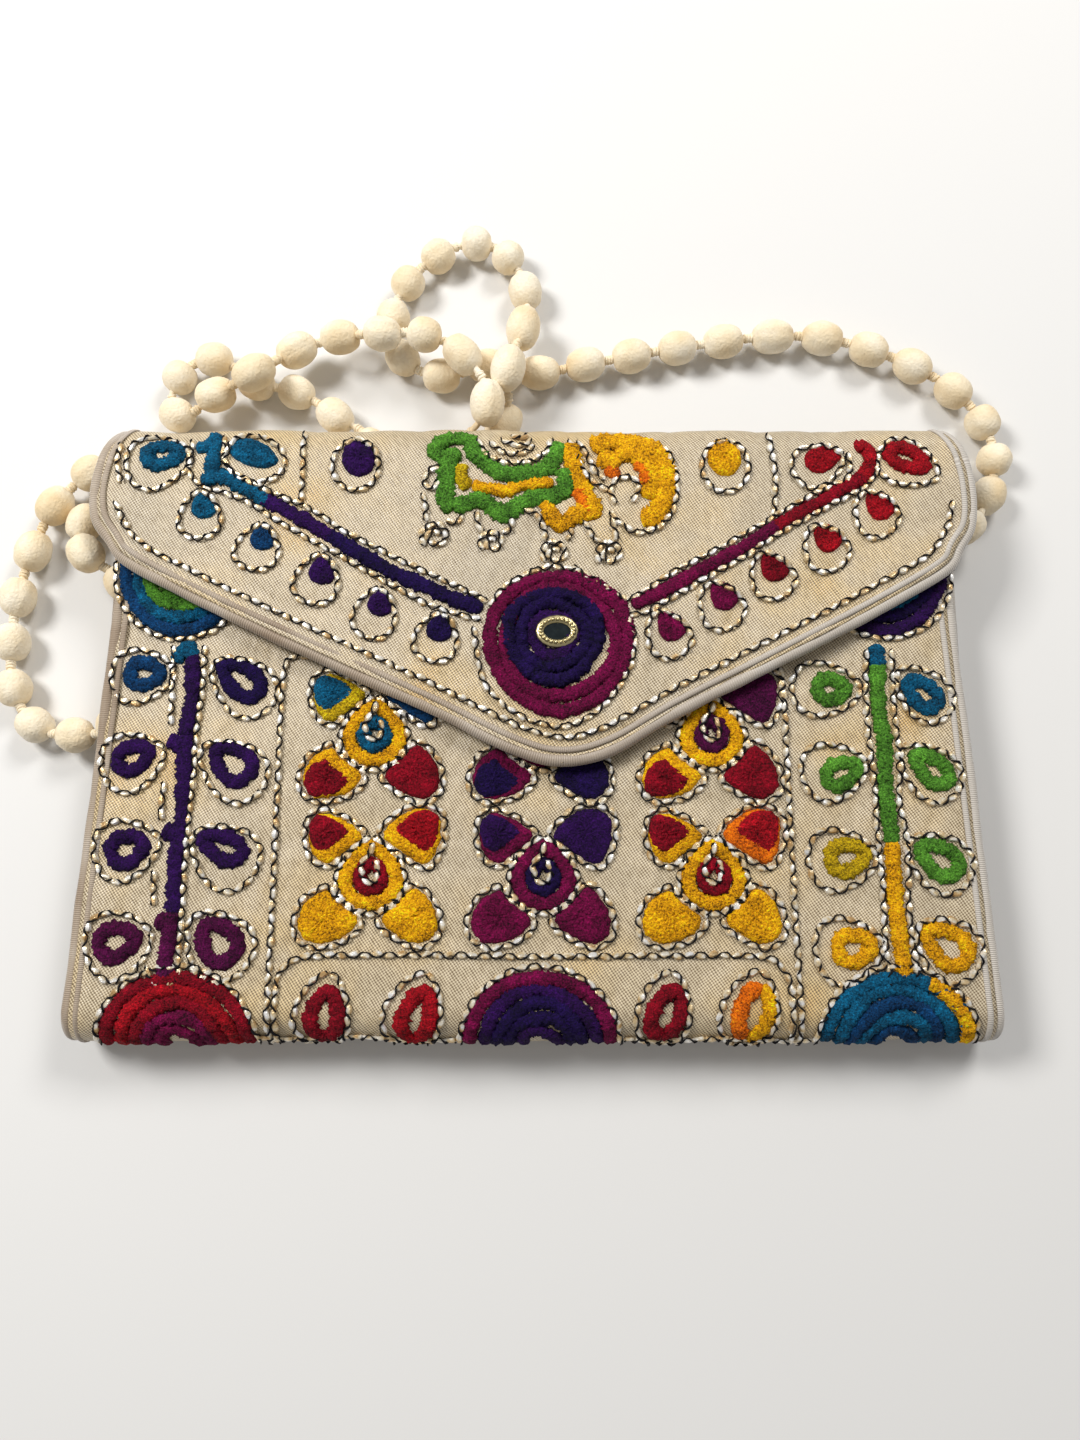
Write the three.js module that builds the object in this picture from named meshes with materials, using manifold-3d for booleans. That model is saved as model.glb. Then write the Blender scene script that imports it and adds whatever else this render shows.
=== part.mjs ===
// An embroidered envelope clutch on a crossbody strap of cloth-covered beads, closed, on its back.
// Lengths are in millimetres. X runs to the right, Y towards the top fold and Z up from the table.

import * as THREE from "three";
import { mergeVertices } from "three/addons/utils/BufferGeometryUtils.js";
import Module from "manifold-3d";

const wasm = await Module();
wasm.setup();

// The closed bag, over its piping
const BAG_WIDTH = 230;
const MOUTH_WIDTH = 214.6;
const BAG_LENGTH = 157.6;
const BODY_DEPTH = 17.6;
const FLAP_RISE = 4.3;
const MOUTH_DROP = 18.8;

// Cloth, seams and piping
const CLOTH = 1.2;
const LINING = 0.6;
const GUSSET_CLOTH = 0.8;
const SEAM_GAP = 0.3;
const PIPING_DIAMETER = 3.6;
const PIPING_SIDES = 8;

// The top fold: the back lifts off the table along a long curve and turns over into the flap
const LIFT_RUN = 34.8;
const FOLD_WIDEST_HEIGHT = 16.5;
const FLAP_TURN_RUN = 10.8;

// The flap's outline, measured from the top fold
const FLAP_LEFT_DROP = 32.8;
const FLAP_RIGHT_DROP = 35.3;
const FLAP_TIP_DROP = 91.8;
const FLAP_TIP_X = 7.5;
const FLAP_BULGE = 2.4;
const FLAP_BULGE_RADIUS = 90;
const FLAP_CORNER_RADIUS = 16;
const FLAP_TIP_RADIUS = 36;

// The side gussets, folded inwards
const GUSSET_FOLD_DEPTH = 17;
const GUSSET_FOLD_RADIUS = 4;
const GUSSET_STEPS = 8;

// The press fastener under the flap's medallion
const SNAP_X = 6;
const SNAP_DROP = 56.8;
const SOCKET_DIAMETER = 14;
const SOCKET_THICKNESS = 1.4;
const STUD_DIAMETER = 12;
const STUD_PIN_DIAMETER = 3.6;
const STUD_PIN_LENGTH = 1;

// Embroidery stands on the cloth
const STITCH_HEIGHT = 1.2;
const CORD_WIDTH = 2.2;
const STEM_WIDTH = 5.5;
const STALK_WIDTH = 2.6;
const FLAP_CORD_INSET = 7.2;
const BORDER_SIDE_X = 64;
const BORDER_TOP_RISE = 92;
const BORDER_BAND_RISE = 20.7;
const LEAF_LENGTH = 17;
const LEAF_WIDTH = 12.6;
const FLAP_DROP_LENGTH = 14.5;
const FLAP_DROP_WIDTH = 10;
const OVAL_LENGTH = 14;
const OVAL_WIDTH = 11.5;
const OVAL_DROP = 10;
const PETAL_LENGTH = 15.5;
const PETAL_WIDTH = 13.5;
const FLOWER_HEART_DIAMETER = 16;
const DROP_LENGTH = 19;
const DROP_WIDTH = 12.5;
const DROP_HOLE_LENGTH = 7;
const DROP_HOLE_WIDTH = 3;
const DROP_RISE = 9.4;
const BOTTOM_MEDALLION_DIAMETER = 38;
const TOP_MEDALLION_DIAMETER = 33;
const TOP_MEDALLION_DROP = 39.5;
const TOP_MEDALLION_SIDE = 24.4;

// How finely round forms are faceted
const ROUND_STEPS = 12;
const CIRCLE_STEPS = 20;
const CORNER_STEPS = 4;
const BOTTOM_STEPS = 8;
const LIFT_STEPS = 8;
const TURN_STEPS = 5;

// The flap's medallion with its mirror
const MEDALLION_X = 6.5;
const MEDALLION_DROP = 59.2;
const MEDALLION_DIAMETER = 38;
const HEART_X = 5;
const HEART_DROP = 57.6;
const HEART_DIAMETER = 26;
const MIRROR_X = 6;
const MIRROR_DROP = 56.8;
const MIRROR_LENGTH = 7.6;
const MIRROR_WIDTH = 5.4;
const MIRROR_THICKNESS = 0.8;
const MIRROR_RING_LENGTH = 10.8;
const MIRROR_RING_WIDTH = 8.2;
const MIRROR_RING_HEIGHT = 1.7;

// The strap: one bead on each chosen place, knotted thread between them
const BEAD_DIAMETER = 9.8;
const THREAD_DIAMETER = 1.8;
const BARE_THREAD = 1.9;
const BEAD_STRETCH = 1.35;
const BEAD_SHOULDER = 0.95;
const STRAND_SIDES = 8;
const KNOT_DIAMETER = 4.8;
const KNOT_HEIGHT = 9;
const KNOT_DROP = 22.8;

// Places that follow from the sizes above
const LEFT = -BAG_WIDTH / 2;
const RIGHT = BAG_WIDTH / 2;
const TOP = BAG_LENGTH / 2;
const BOTTOM = -BAG_LENGTH / 2;
const MOUTH_Y = TOP - MOUTH_DROP;
const FLAP_TOP = BODY_DEPTH + FLAP_RISE + CLOTH;
const PIPING_RADIUS = PIPING_DIAMETER / 2;
const CLOTH_INSET = PIPING_DIAMETER + SEAM_GAP;
const LINING_DEPTH = CLOTH + SEAM_GAP;
const GUSSET_DEPTH = LINING_DEPTH + LINING + SEAM_GAP;
const FLAP_INSIDE = FLAP_TOP - LINING_DEPTH - LINING;
const SNAP_Y = TOP - SNAP_DROP;

// A point and lines in a plane

function polar(radius, angle) {
  return new THREE.Vector2(radius * Math.cos(angle), radius * Math.sin(angle));
}

// The line moved to its left by a distance, with mitred corners
function moveLeft(line, distance) {
  const sides = line.slice(1).map((point, i) => {
    const along = point.clone().sub(line[i]).normalize();
    return new THREE.Vector2(-along.y, along.x);
  });
  return line.map((point, i) => {
    const before = sides[Math.max(i - 1, 0)];
    const after = sides[Math.min(i, sides.length - 1)];
    const middle = before.clone().add(after).normalize();
    return point.clone().addScaledVector(middle, distance / middle.dot(before));
  });
}

// The closed outline of a sheet whose left face runs along the line
function sheetOutline(line, thickness) {
  return [...line, ...moveLeft(line, thickness).reverse()];
}

// The closed outline of a stitched cord of some width along a middle line
function cordOutline(line, width) {
  return [...moveLeft(line, width / 2), ...moveLeft(line, -width / 2).reverse()];
}

// The line with each corner that has a radius turned into an arc
function roundCorners(corners, steps = CORNER_STEPS) {
  return corners.flatMap(({ x, y, radius }, i) => {
    const corner = new THREE.Vector2(x, y);
    if (!radius) return [corner];
    const before = new THREE.Vector2(corners[i - 1].x, corners[i - 1].y).sub(corner).normalize();
    const after = new THREE.Vector2(corners[i + 1].x, corners[i + 1].y).sub(corner).normalize();
    const half = Math.acos(before.dot(after)) / 2;
    const towards = before.clone().add(after).normalize();
    const centre = corner.clone().addScaledVector(towards, radius / Math.sin(half));
    const start = before.clone().multiplyScalar(radius / Math.tan(half)).add(corner).sub(centre);
    const turn = (Math.PI - 2 * half) * Math.sign(before.cross(after));
    return Array.from({ length: steps + 1 }, (_, k) =>
      start.clone().rotateAround(new THREE.Vector2(), (-turn * k) / steps).add(centre));
  });
}

function ellipse(x, y, length, width, angle = 0, steps = ROUND_STEPS) {
  const centre = new THREE.Vector2(x, y);
  return Array.from({ length: steps }, (_, k) => {
    const round = polar(1, (2 * Math.PI * k) / steps);
    return new THREE.Vector2((round.x * length) / 2, (round.y * width) / 2)
      .rotateAround(new THREE.Vector2(), angle)
      .add(centre);
  });
}

function circle(x, y, diameter, steps = CIRCLE_STEPS) {
  return ellipse(x, y, diameter, diameter, 0, steps);
}

// The place on a line that is nearest to a point
function nearestOnLine(line, point) {
  const places = line.slice(1).map((end, i) => {
    const along = end.clone().sub(line[i]);
    const share = THREE.MathUtils.clamp(point.clone().sub(line[i]).dot(along) / along.lengthSq(), 0, 1);
    return line[i].clone().addScaledVector(along, share);
  });
  return places.reduce((best, place) =>
    (place.distanceTo(point) < best.distanceTo(point) ? place : best));
}

// Solids

function solidOf(geometry) {
  geometry.deleteAttribute("normal");
  geometry.deleteAttribute("uv");
  const merged = mergeVertices(geometry);
  return new wasm.Manifold(new wasm.Mesh({
    numProp: 3,
    vertProperties: merged.attributes.position.array,
    triVerts: new Uint32Array(merged.index.array),
  }));
}

function geometryOf(solid) {
  const mesh = solid.getMesh();
  const geometry = new THREE.BufferGeometry();
  geometry.setAttribute("position", new THREE.BufferAttribute(mesh.vertProperties, 3));
  geometry.setIndex(new THREE.BufferAttribute(mesh.triVerts, 1));
  return geometry;
}

// An outline in the XY plane made solid between two heights
function upright(outline, bottom, top, holes = []) {
  const shape = new THREE.Shape(outline);
  shape.holes = holes.map((hole) => new THREE.Path(hole));
  const geometry = new THREE.ExtrudeGeometry(shape, { depth: top - bottom, bevelEnabled: false });
  return solidOf(geometry.translate(0, 0, bottom));
}

// An outline in the YZ plane made solid across the bag's width
function across(outline, width) {
  const shape = new THREE.Shape(outline);
  const geometry = new THREE.ExtrudeGeometry(shape, { depth: width, bevelEnabled: false });
  const turned = new THREE.Matrix4().makeBasis(
    new THREE.Vector3(0, 1, 0),
    new THREE.Vector3(0, 0, 1),
    new THREE.Vector3(1, 0, 0),
  );
  return solidOf(geometry.applyMatrix4(turned).translate(-width / 2, 0, 0));
}

// An outline in the XZ plane made solid between two places on Y, its points then moved in height
function along(outline, fromY, toY, steps, heightOf) {
  const shape = new THREE.Shape(outline);
  const geometry = new THREE.ExtrudeGeometry(shape, { depth: fromY - toY, steps, bevelEnabled: false });
  const turned = new THREE.Matrix4().makeBasis(
    new THREE.Vector3(1, 0, 0),
    new THREE.Vector3(0, 0, 1),
    new THREE.Vector3(0, -1, 0),
  );
  geometry.applyMatrix4(turned).translate(0, fromY, 0);
  const places = geometry.attributes.position;
  for (let i = 0; i < places.count; i += 1) {
    places.setZ(i, heightOf(places.getY(i), places.getZ(i)));
  }
  return solidOf(geometry);
}

// One closed skin over rings of points, each given by its centre, direction and radius
function skinOver(rings, sides) {
  const positions = [];
  const faces = [];
  let side = new THREE.Vector3(0, 0, 1);
  rings.forEach(({ centre, direction, radius }) => {
    side = side.clone().addScaledVector(direction, -side.dot(direction)).normalize();
    const other = direction.clone().cross(side);
    for (let k = 0; k < sides; k += 1) {
      const round = polar(radius, (2 * Math.PI * k) / sides);
      const point = centre.clone().addScaledVector(side, round.x).addScaledVector(other, round.y);
      positions.push(point.x, point.y, point.z);
    }
  });
  for (let ring = 0; ring + 1 < rings.length; ring += 1) {
    for (let k = 0; k < sides; k += 1) {
      const here = ring * sides + k;
      const next = ring * sides + ((k + 1) % sides);
      faces.push(here, next, next + sides, here, next + sides, here + sides);
    }
  }
  const last = (rings.length - 1) * sides;
  for (let k = 1; k + 1 < sides; k += 1) {
    faces.push(0, k + 1, k, last, last + k, last + k + 1);
  }
  const geometry = new THREE.BufferGeometry();
  geometry.setAttribute("position", new THREE.Float32BufferAttribute(positions, 3));
  geometry.setIndex(faces);
  return geometry;
}

// Lines that the pieces share

function arc(from, to, steps, place) {
  return Array.from({ length: steps + 1 }, (_, k) => {
    const angle = THREE.MathUtils.degToRad(from + ((to - from) * k) / steps);
    return place(Math.sin(angle), Math.cos(angle));
  });
}

// The bag's outer face in the YZ plane: front, bottom fold, back, top fold and flap
const frontRun = [new THREE.Vector2(MOUTH_Y, BODY_DEPTH)];
const bottomRun = arc(0, -180, BOTTOM_STEPS, (sine, cosine) =>
  new THREE.Vector2(BOTTOM + (BODY_DEPTH / 2) * (1 + sine), (BODY_DEPTH / 2) * (1 + cosine)));
const liftRun = arc(0, 90, LIFT_STEPS, (sine, cosine) =>
  new THREE.Vector2(TOP - LIFT_RUN * (1 - sine), FOLD_WIDEST_HEIGHT * (1 - cosine)));
const turnRun = arc(0, 90, TURN_STEPS, (sine, cosine) =>
  new THREE.Vector2(
    TOP - FLAP_TURN_RUN * (1 - cosine),
    FOLD_WIDEST_HEIGHT + (FLAP_TOP - FOLD_WIDEST_HEIGHT) * sine,
  ));
const flapEnd = new THREE.Vector2(TOP - FLAP_TIP_DROP, FLAP_TOP);
const outerFace = [...frontRun, ...bottomRun, ...liftRun, ...turnRun.slice(1), flapEnd];

// The flap's outer edge in the XY plane, from the left end of the fold round the tip to the right end
function bulged(sideX, sideY) {
  const edge = new THREE.Vector2(sideX - FLAP_TIP_X, sideY - (TOP - FLAP_TIP_DROP));
  const outwards = new THREE.Vector2(edge.y, -edge.x)
    .normalize()
    .multiplyScalar(Math.sign(sideX) * FLAP_BULGE);
  return {
    x: FLAP_TIP_X + edge.x / 2 + outwards.x,
    y: TOP - FLAP_TIP_DROP + edge.y / 2 + outwards.y,
    radius: FLAP_BULGE_RADIUS,
  };
}
const flapEdge = roundCorners([
  { x: LEFT, y: TOP },
  { x: LEFT, y: TOP - FLAP_LEFT_DROP, radius: FLAP_CORNER_RADIUS },
  bulged(LEFT, TOP - FLAP_LEFT_DROP),
  { x: FLAP_TIP_X, y: TOP - FLAP_TIP_DROP, radius: FLAP_TIP_RADIUS },
  bulged(RIGHT, TOP - FLAP_RIGHT_DROP),
  { x: RIGHT, y: TOP - FLAP_RIGHT_DROP, radius: FLAP_CORNER_RADIUS },
  { x: RIGHT, y: TOP },
]);

// Half of the front's width at a place on Y
function frontHalf(y) {
  const share = (y - BOTTOM) / (MOUTH_Y - BOTTOM);
  return (BAG_WIDTH + (MOUTH_WIDTH - BAG_WIDTH) * share) / 2;
}

// The front as a four-cornered area, its sides moved in from the piping's outer edge
function frontArea(inset) {
  const low = BOTTOM - STITCH_HEIGHT;
  return [
    new THREE.Vector2(-frontHalf(low) + inset, low),
    new THREE.Vector2(frontHalf(low) - inset, low),
    new THREE.Vector2(frontHalf(MOUTH_Y) - inset, MOUTH_Y),
    new THREE.Vector2(-frontHalf(MOUTH_Y) + inset, MOUTH_Y),
  ];
}

// The flap as an area that runs on past the top fold, its edge moved in from the piping's outer edge
function flapArea(inset) {
  const edge = moveLeft(flapEdge, inset);
  const beyond = TOP + PIPING_DIAMETER;
  return [new THREE.Vector2(edge[0].x, beyond), ...edge, new THREE.Vector2(edge.at(-1).x, beyond)];
}

// Cuts a folded sheet to the tapered front and to the flap's outline
function trimmed(sheet, inset) {
  const wide = BAG_WIDTH;
  const frontHigh = BODY_DEPTH + FLAP_RISE / 2;
  const allOver = (bottom, top, fromY, toY) => upright(
    [
      new THREE.Vector2(-wide, fromY),
      new THREE.Vector2(wide, fromY),
      new THREE.Vector2(wide, toY),
      new THREE.Vector2(-wide, toY),
    ],
    bottom,
    top,
  );
  const frontWaste = allOver(BODY_DEPTH / 2, frontHigh, BOTTOM - CLOTH, MOUTH_Y + CLOTH)
    .subtract(upright(frontArea(inset), 0, FLAP_TOP));
  const flapWaste = allOver(frontHigh, FLAP_TOP + CLOTH, BOTTOM - CLOTH, TOP - FLAP_TURN_RUN)
    .subtract(upright(flapArea(inset), 0, 2 * FLAP_TOP));
  return sheet.subtract(frontWaste).subtract(flapWaste);
}

// A sheet folded like the whole bag, at some depth under the outer face
function foldedSheet(depth, thickness, inset) {
  const width = BAG_WIDTH - 2 * inset;
  return trimmed(across(sheetOutline(moveLeft(outerFace, depth), thickness), width), inset);
}

// Stitching stands on the cloth: the space that it fills along a run of the outer face
function stitchLayer(run) {
  return across(sheetOutline(moveLeft(run, -STITCH_HEIGHT), STITCH_HEIGHT - SEAM_GAP), BAG_WIDTH);
}
// The front's stitching stops where the bottom fold is widest
const frontFace = [...frontRun, ...bottomRun.slice(0, BOTTOM_STEPS / 2 + 1)];
const frontStitches = stitchLayer(frontFace)
  .intersect(upright(frontArea(CLOTH_INSET + SEAM_GAP), 0, FLAP_TOP));
const flapStitches = stitchLayer([...turnRun, flapEnd])
  .intersect(upright(flapArea(CLOTH_INSET + SEAM_GAP), 0, 2 * FLAP_TOP));

// One motif: its outlines joined, and cut to the space that stitching fills
function motif(outlines, stitches, holes = []) {
  const high = 2 * FLAP_TOP;
  const joined = outlines
    .map((outline) => upright(outline, 0, high))
    .reduce((all, next) => all.add(next));
  return holes.reduce((all, hole) => all.subtract(upright(hole, 0, high)), joined).intersect(stitches);
}

// A stem with a leaf on each place; lean moves the foot of each stalk along the stem
function vine(stem, leaves, length, width, lean, stitches, holes = []) {
  const outlines = leaves.flatMap((leaf) => {
    const foot = nearestOnLine(stem, leaf.clone().add(lean));
    const away = leaf.clone().sub(foot);
    return [
      ellipse(leaf.x, leaf.y, length, width, away.angle()),
      cordOutline([foot, leaf], STALK_WIDTH),
    ];
  });
  return motif([cordOutline(stem, STEM_WIDTH), ...outlines], stitches, holes);
}

// Materials and the group

function cloth(color, roughness = 0.9, metalness = 0) {
  return new THREE.MeshStandardMaterial({ color, roughness, metalness });
}
const SATIN = 0xc9b690;
const COTTON = 0xd8cdb8;
const PIPING_COLOUR = 0xa89880;
const STEEL = 0xb9b9b4;
const GILT_WIRE = 0xb8954a;
const MIRROR_GREY = 0x22262a;
const SILVER_CORD = 0xcfc6b4;
const BEAD_CREAM = 0xeae0be;
const TEAL = 0x1d6f8c;
const VIOLET = 0x3b1a6e;
const MAROON = 0x7c1246;
const CRIMSON = 0xb01228;
const GREEN = 0x4ea32a;
const YELLOW = 0xe6b31e;

const clutch = new THREE.Group();
function add(name, shape, material) {
  const geometry = shape instanceof THREE.BufferGeometry ? shape : geometryOf(shape);
  const mesh = new THREE.Mesh(geometry, material);
  mesh.name = name;
  clutch.add(mesh);
}

// What is drawn for the right side is mirrored for the left: -1 is left and 1 is right
const SIDES = [["left", -1], ["right", 1]];

// The folded panel, its lining and the gussets
add("outer_panel", foldedSheet(0, CLOTH, CLOTH_INSET), cloth(SATIN, 0.55));
add("lining", foldedSheet(LINING_DEPTH, LINING, CLOTH_INSET + SEAM_GAP), cloth(COTTON));

const gussetEdge = RIGHT - CLOTH_INSET - SEAM_GAP;
const gussetTop = BODY_DEPTH - GUSSET_DEPTH;
const webX = RIGHT - GUSSET_FOLD_DEPTH;
const gussetLine = roundCorners([
  { x: gussetEdge, y: GUSSET_DEPTH },
  { x: webX - GUSSET_CLOTH, y: GUSSET_DEPTH, radius: GUSSET_FOLD_RADIUS },
  { x: webX - GUSSET_CLOTH, y: gussetTop, radius: GUSSET_FOLD_RADIUS },
  { x: gussetEdge, y: gussetTop },
]);
const gussetFloor = moveLeft(outerFace, GUSSET_DEPTH)
  .slice(frontRun.length + bottomRun.length, -turnRun.length);
function gussetHeight(y, z) {
  const next = gussetFloor.findIndex((point) => point.x > y);
  if (next < 1) return z;
  const [from, to] = [gussetFloor[next - 1], gussetFloor[next]];
  const floor = THREE.MathUtils.mapLinear(y, from.x, to.x, from.y, to.y);
  return THREE.MathUtils.mapLinear(z, GUSSET_DEPTH, gussetTop, floor, gussetTop);
}
const bottomWaste = across(sheetOutline(moveLeft(bottomRun, -CLOTH), CLOTH + GUSSET_DEPTH), BAG_WIDTH);
const gussetOutline = sheetOutline(gussetLine, -GUSSET_CLOTH);
SIDES.forEach(([name, side]) => {
  const outline = gussetOutline.map(({ x, y }) => new THREE.Vector2(side * x, y));
  const gusset = along(outline, MOUTH_Y, BOTTOM + GUSSET_DEPTH, GUSSET_STEPS, gussetHeight)
    .subtract(bottomWaste);
  add(`gusset_${name}`, trimmed(gusset, CLOTH_INSET + SEAM_GAP), cloth(SATIN, 0.6));
});

// The piping runs in one length: down the front's left side, up the back, round the flap and back again
const pipingFace = moveLeft(outerFace, PIPING_RADIUS);
const flapPiping = moveLeft(flapEdge, PIPING_RADIUS).slice(1, -1);
const sidePiping = pipingFace.slice(0, -1).map(({ x: y, y: z }) => {
  const onFront = z > BODY_DEPTH / 2 && y < MOUTH_Y + CLOTH;
  return new THREE.Vector3((onFront ? frontHalf(y) : RIGHT) - PIPING_RADIUS, y, z);
});
const pipingRoute = [
  ...sidePiping.map(({ x, y, z }) => new THREE.Vector3(-x, y, z)),
  ...flapPiping.map(({ x, y }) => new THREE.Vector3(x, y, FLAP_TOP - PIPING_RADIUS)),
  ...sidePiping.slice().reverse(),
];
const pipingRings = pipingRoute.map((centre, i) => {
  const before = pipingRoute[Math.max(i - 1, 0)];
  const after = pipingRoute[Math.min(i + 1, pipingRoute.length - 1)];
  return { centre, direction: after.clone().sub(before).normalize(), radius: PIPING_RADIUS };
});
add("piping", skinOver(pipingRings, PIPING_SIDES), cloth(PIPING_COLOUR, 0.7));

// The press fastener: a socket sewn to the front and a stud sewn under the flap
const socketTop = BODY_DEPTH + SOCKET_THICKNESS;
const pinHole = circle(SNAP_X, SNAP_Y, STUD_PIN_DIAMETER + 2 * SEAM_GAP, ROUND_STEPS);
const socket = upright(circle(SNAP_X, SNAP_Y, SOCKET_DIAMETER), BODY_DEPTH, socketTop, [pinHole]);
add("snap_socket", socket, cloth(STEEL, 0.35, 0.9));
const studBottom = socketTop + SEAM_GAP;
const pin = upright(
  circle(SNAP_X, SNAP_Y, STUD_PIN_DIAMETER, ROUND_STEPS),
  studBottom - STUD_PIN_LENGTH,
  studBottom + SEAM_GAP,
);
const stud = upright(circle(SNAP_X, SNAP_Y, STUD_DIAMETER), studBottom, FLAP_INSIDE).add(pin);
add("snap_stud", stud, cloth(STEEL, 0.35, 0.9));

// Half medallions on the bottom fold and at the front's upper corners
const BOTTOM_MEDALLIONS = [
  ["left", LEFT + 28.4, CRIMSON],
  ["middle", 1.7, MAROON],
  ["right", RIGHT - 26.5, TEAL],
];
BOTTOM_MEDALLIONS.forEach(([name, x, colour]) => {
  const solid = motif([circle(x, BOTTOM - STITCH_HEIGHT, BOTTOM_MEDALLION_DIAMETER)], frontStitches);
  add(`medallion_bottom_${name}`, solid, cloth(colour));
});
const topMedallion = (side, gap = 0) =>
  circle(side * (RIGHT - TOP_MEDALLION_SIDE), TOP - TOP_MEDALLION_DROP, TOP_MEDALLION_DIAMETER + 2 * gap);
SIDES.forEach(([name, side]) => {
  const solid = motif([topMedallion(side)], frontStitches);
  add(`medallion_top_${name}`, solid, cloth(side < 0 ? TEAL : VIOLET));
});

// Stitched border cords on the front
const sideBorders = SIDES.map(([, side]) => [
  new THREE.Vector2(side * BORDER_SIDE_X, BOTTOM + BORDER_TOP_RISE),
  new THREE.Vector2(side * BORDER_SIDE_X, BOTTOM),
]);
const bandBorder = SIDES.map(([, side]) =>
  new THREE.Vector2(side * BORDER_SIDE_X, BOTTOM + BORDER_BAND_RISE));
const frontBorders = [...sideBorders, bandBorder].map((line) => cordOutline(line, CORD_WIDTH));
add("front_border_cord", motif(frontBorders, frontStitches), cloth(SILVER_CORD, 0.5));

// The room that the front's other motifs leave round the medallions, the border cords and the fastener
const frontRoom = [
  ...BOTTOM_MEDALLIONS.map(([, x]) =>
    circle(x, BOTTOM - STITCH_HEIGHT, BOTTOM_MEDALLION_DIAMETER + 2 * SEAM_GAP)),
  ...SIDES.map(([, side]) => topMedallion(side, SEAM_GAP)),
  ...[...sideBorders, bandBorder].map((line) => cordOutline(line, CORD_WIDTH + 2 * SEAM_GAP)),
  circle(SNAP_X, SNAP_Y, SOCKET_DIAMETER + 2 * SEAM_GAP),
];

// Vines beside the front's flowers: leaf places from the side and the bottom, stem from bottom to top
const FRONT_LEAN = new THREE.Vector2(0, -5);
const frontVines = {
  left: {
    leaves: [
      [16.5, 91], [15.7, 67.8], [15.1, 46.6], [14.5, 24.7],
      [40.2, 91], [38.9, 66.6], [37.4, 46.6], [37.4, 23.5],
    ],
    stem: [[25.3, 15], [27.5, 48], [29.5, 100]],
    colour: VIOLET,
  },
  right: {
    leaves: [
      [37.5, 87.6], [35.5, 66.6], [36.6, 44.6], [36, 23.1],
      [17.1, 87.1], [15.4, 67.1], [15, 45.4], [14.4, 22.4],
    ],
    stem: [[24.1, 15], [25.5, 48], [28.1, 96]],
    colour: GREEN,
  },
};
SIDES.forEach(([name, side]) => {
  const { leaves, stem, colour } = frontVines[name];
  const place = ([inwards, rise]) => new THREE.Vector2(side * (RIGHT - inwards), BOTTOM + rise);
  const [line, places] = [stem.map(place), leaves.map(place)];
  const solid = vine(line, places, LEAF_LENGTH, LEAF_WIDTH, FRONT_LEAN, frontStitches, frontRoom);
  add(`vine_${name}`, solid, cloth(colour));
});

// Vines along the flap's edges: places from the side and the top fold
const FLAP_LEAN = new THREE.Vector2(0, 4);
const flapVines = {
  left: {
    leaves: [[19, 8.4], [39.9, 8.4], [29.9, 21.4], [45.4, 31.4], [61.1, 40.2], [76.1, 48.2], [90.7, 55.5]],
    stem: [[31.9, 4.9], [29.8, 14.6], [55.1, 29.5], [98, 47]],
    colour: TEAL,
  },
  right: {
    leaves: [[36.6, 9.9], [16.4, 9.9], [26, 21.4], [40.2, 30.9], [53.8, 38.9], [67, 46.1], [80.4, 54.7]],
    stem: [[28.5, 4.9], [25.2, 15.9], [56.9, 33.6], [85.5, 47]],
    colour: CRIMSON,
  },
};
SIDES.forEach(([name, side]) => {
  const { leaves, stem, colour } = flapVines[name];
  const place = ([inwards, drop]) => new THREE.Vector2(side * (RIGHT - inwards), TOP - drop);
  const [line, places] = [stem.map(place), leaves.map(place)];
  const solid = vine(line, places, FLAP_DROP_LENGTH, FLAP_DROP_WIDTH, FLAP_LEAN, flapStitches);
  add(`flap_vine_${name}`, solid, cloth(colour));
});

// Six flowers of four petals round a heart, in three columns
const PETAL_SPREAD = [[-10.4, 8.2], [10.6, 8.4], [-11, -10.6], [11, -10.6]];
const FLOWER_COLUMNS = [["left", -39.1], ["middle", 2.6], ["right", 44]];
const FLOWER_ROWS = [["top", 75.5, YELLOW], ["bottom", 40.5, CRIMSON]];
FLOWER_COLUMNS.forEach(([column, x]) => {
  FLOWER_ROWS.forEach(([row, rise, colour]) => {
    const y = BOTTOM + rise;
    const petals = PETAL_SPREAD.map(([right, up]) =>
      ellipse(x + right, y + up, PETAL_LENGTH, PETAL_WIDTH, Math.atan2(up, right)));
    const outlines = [circle(x, y, FLOWER_HEART_DIAMETER, ROUND_STEPS), ...petals];
    const solid = motif(outlines, frontStitches, frontRoom);
    add(`flower_${column}_${row}`, solid, cloth(column === "middle" ? MAROON : colour));
  });
});

// Four drops in the band over the bottom fold
[["1", -50.9], ["2", -29.7], ["3", 31.9], ["4", 52.9]].forEach(([number, x]) => {
  const y = BOTTOM + DROP_RISE;
  const hole = ellipse(x, y, DROP_HOLE_WIDTH, DROP_HOLE_LENGTH);
  const solid = motif([ellipse(x, y, DROP_WIDTH, DROP_LENGTH)], frontStitches, [hole, ...frontRoom]);
  add(`drop_${number}`, solid, cloth(CRIMSON));
});

// The stitched border cord round the flap
const flapBorder = moveLeft(flapEdge, FLAP_CORD_INSET).slice(1, -1);
const flapBorderOutline = cordOutline(flapBorder, CORD_WIDTH);
add("flap_border_cord", motif([flapBorderOutline], flapStitches), cloth(SILVER_CORD, 0.5));

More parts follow.
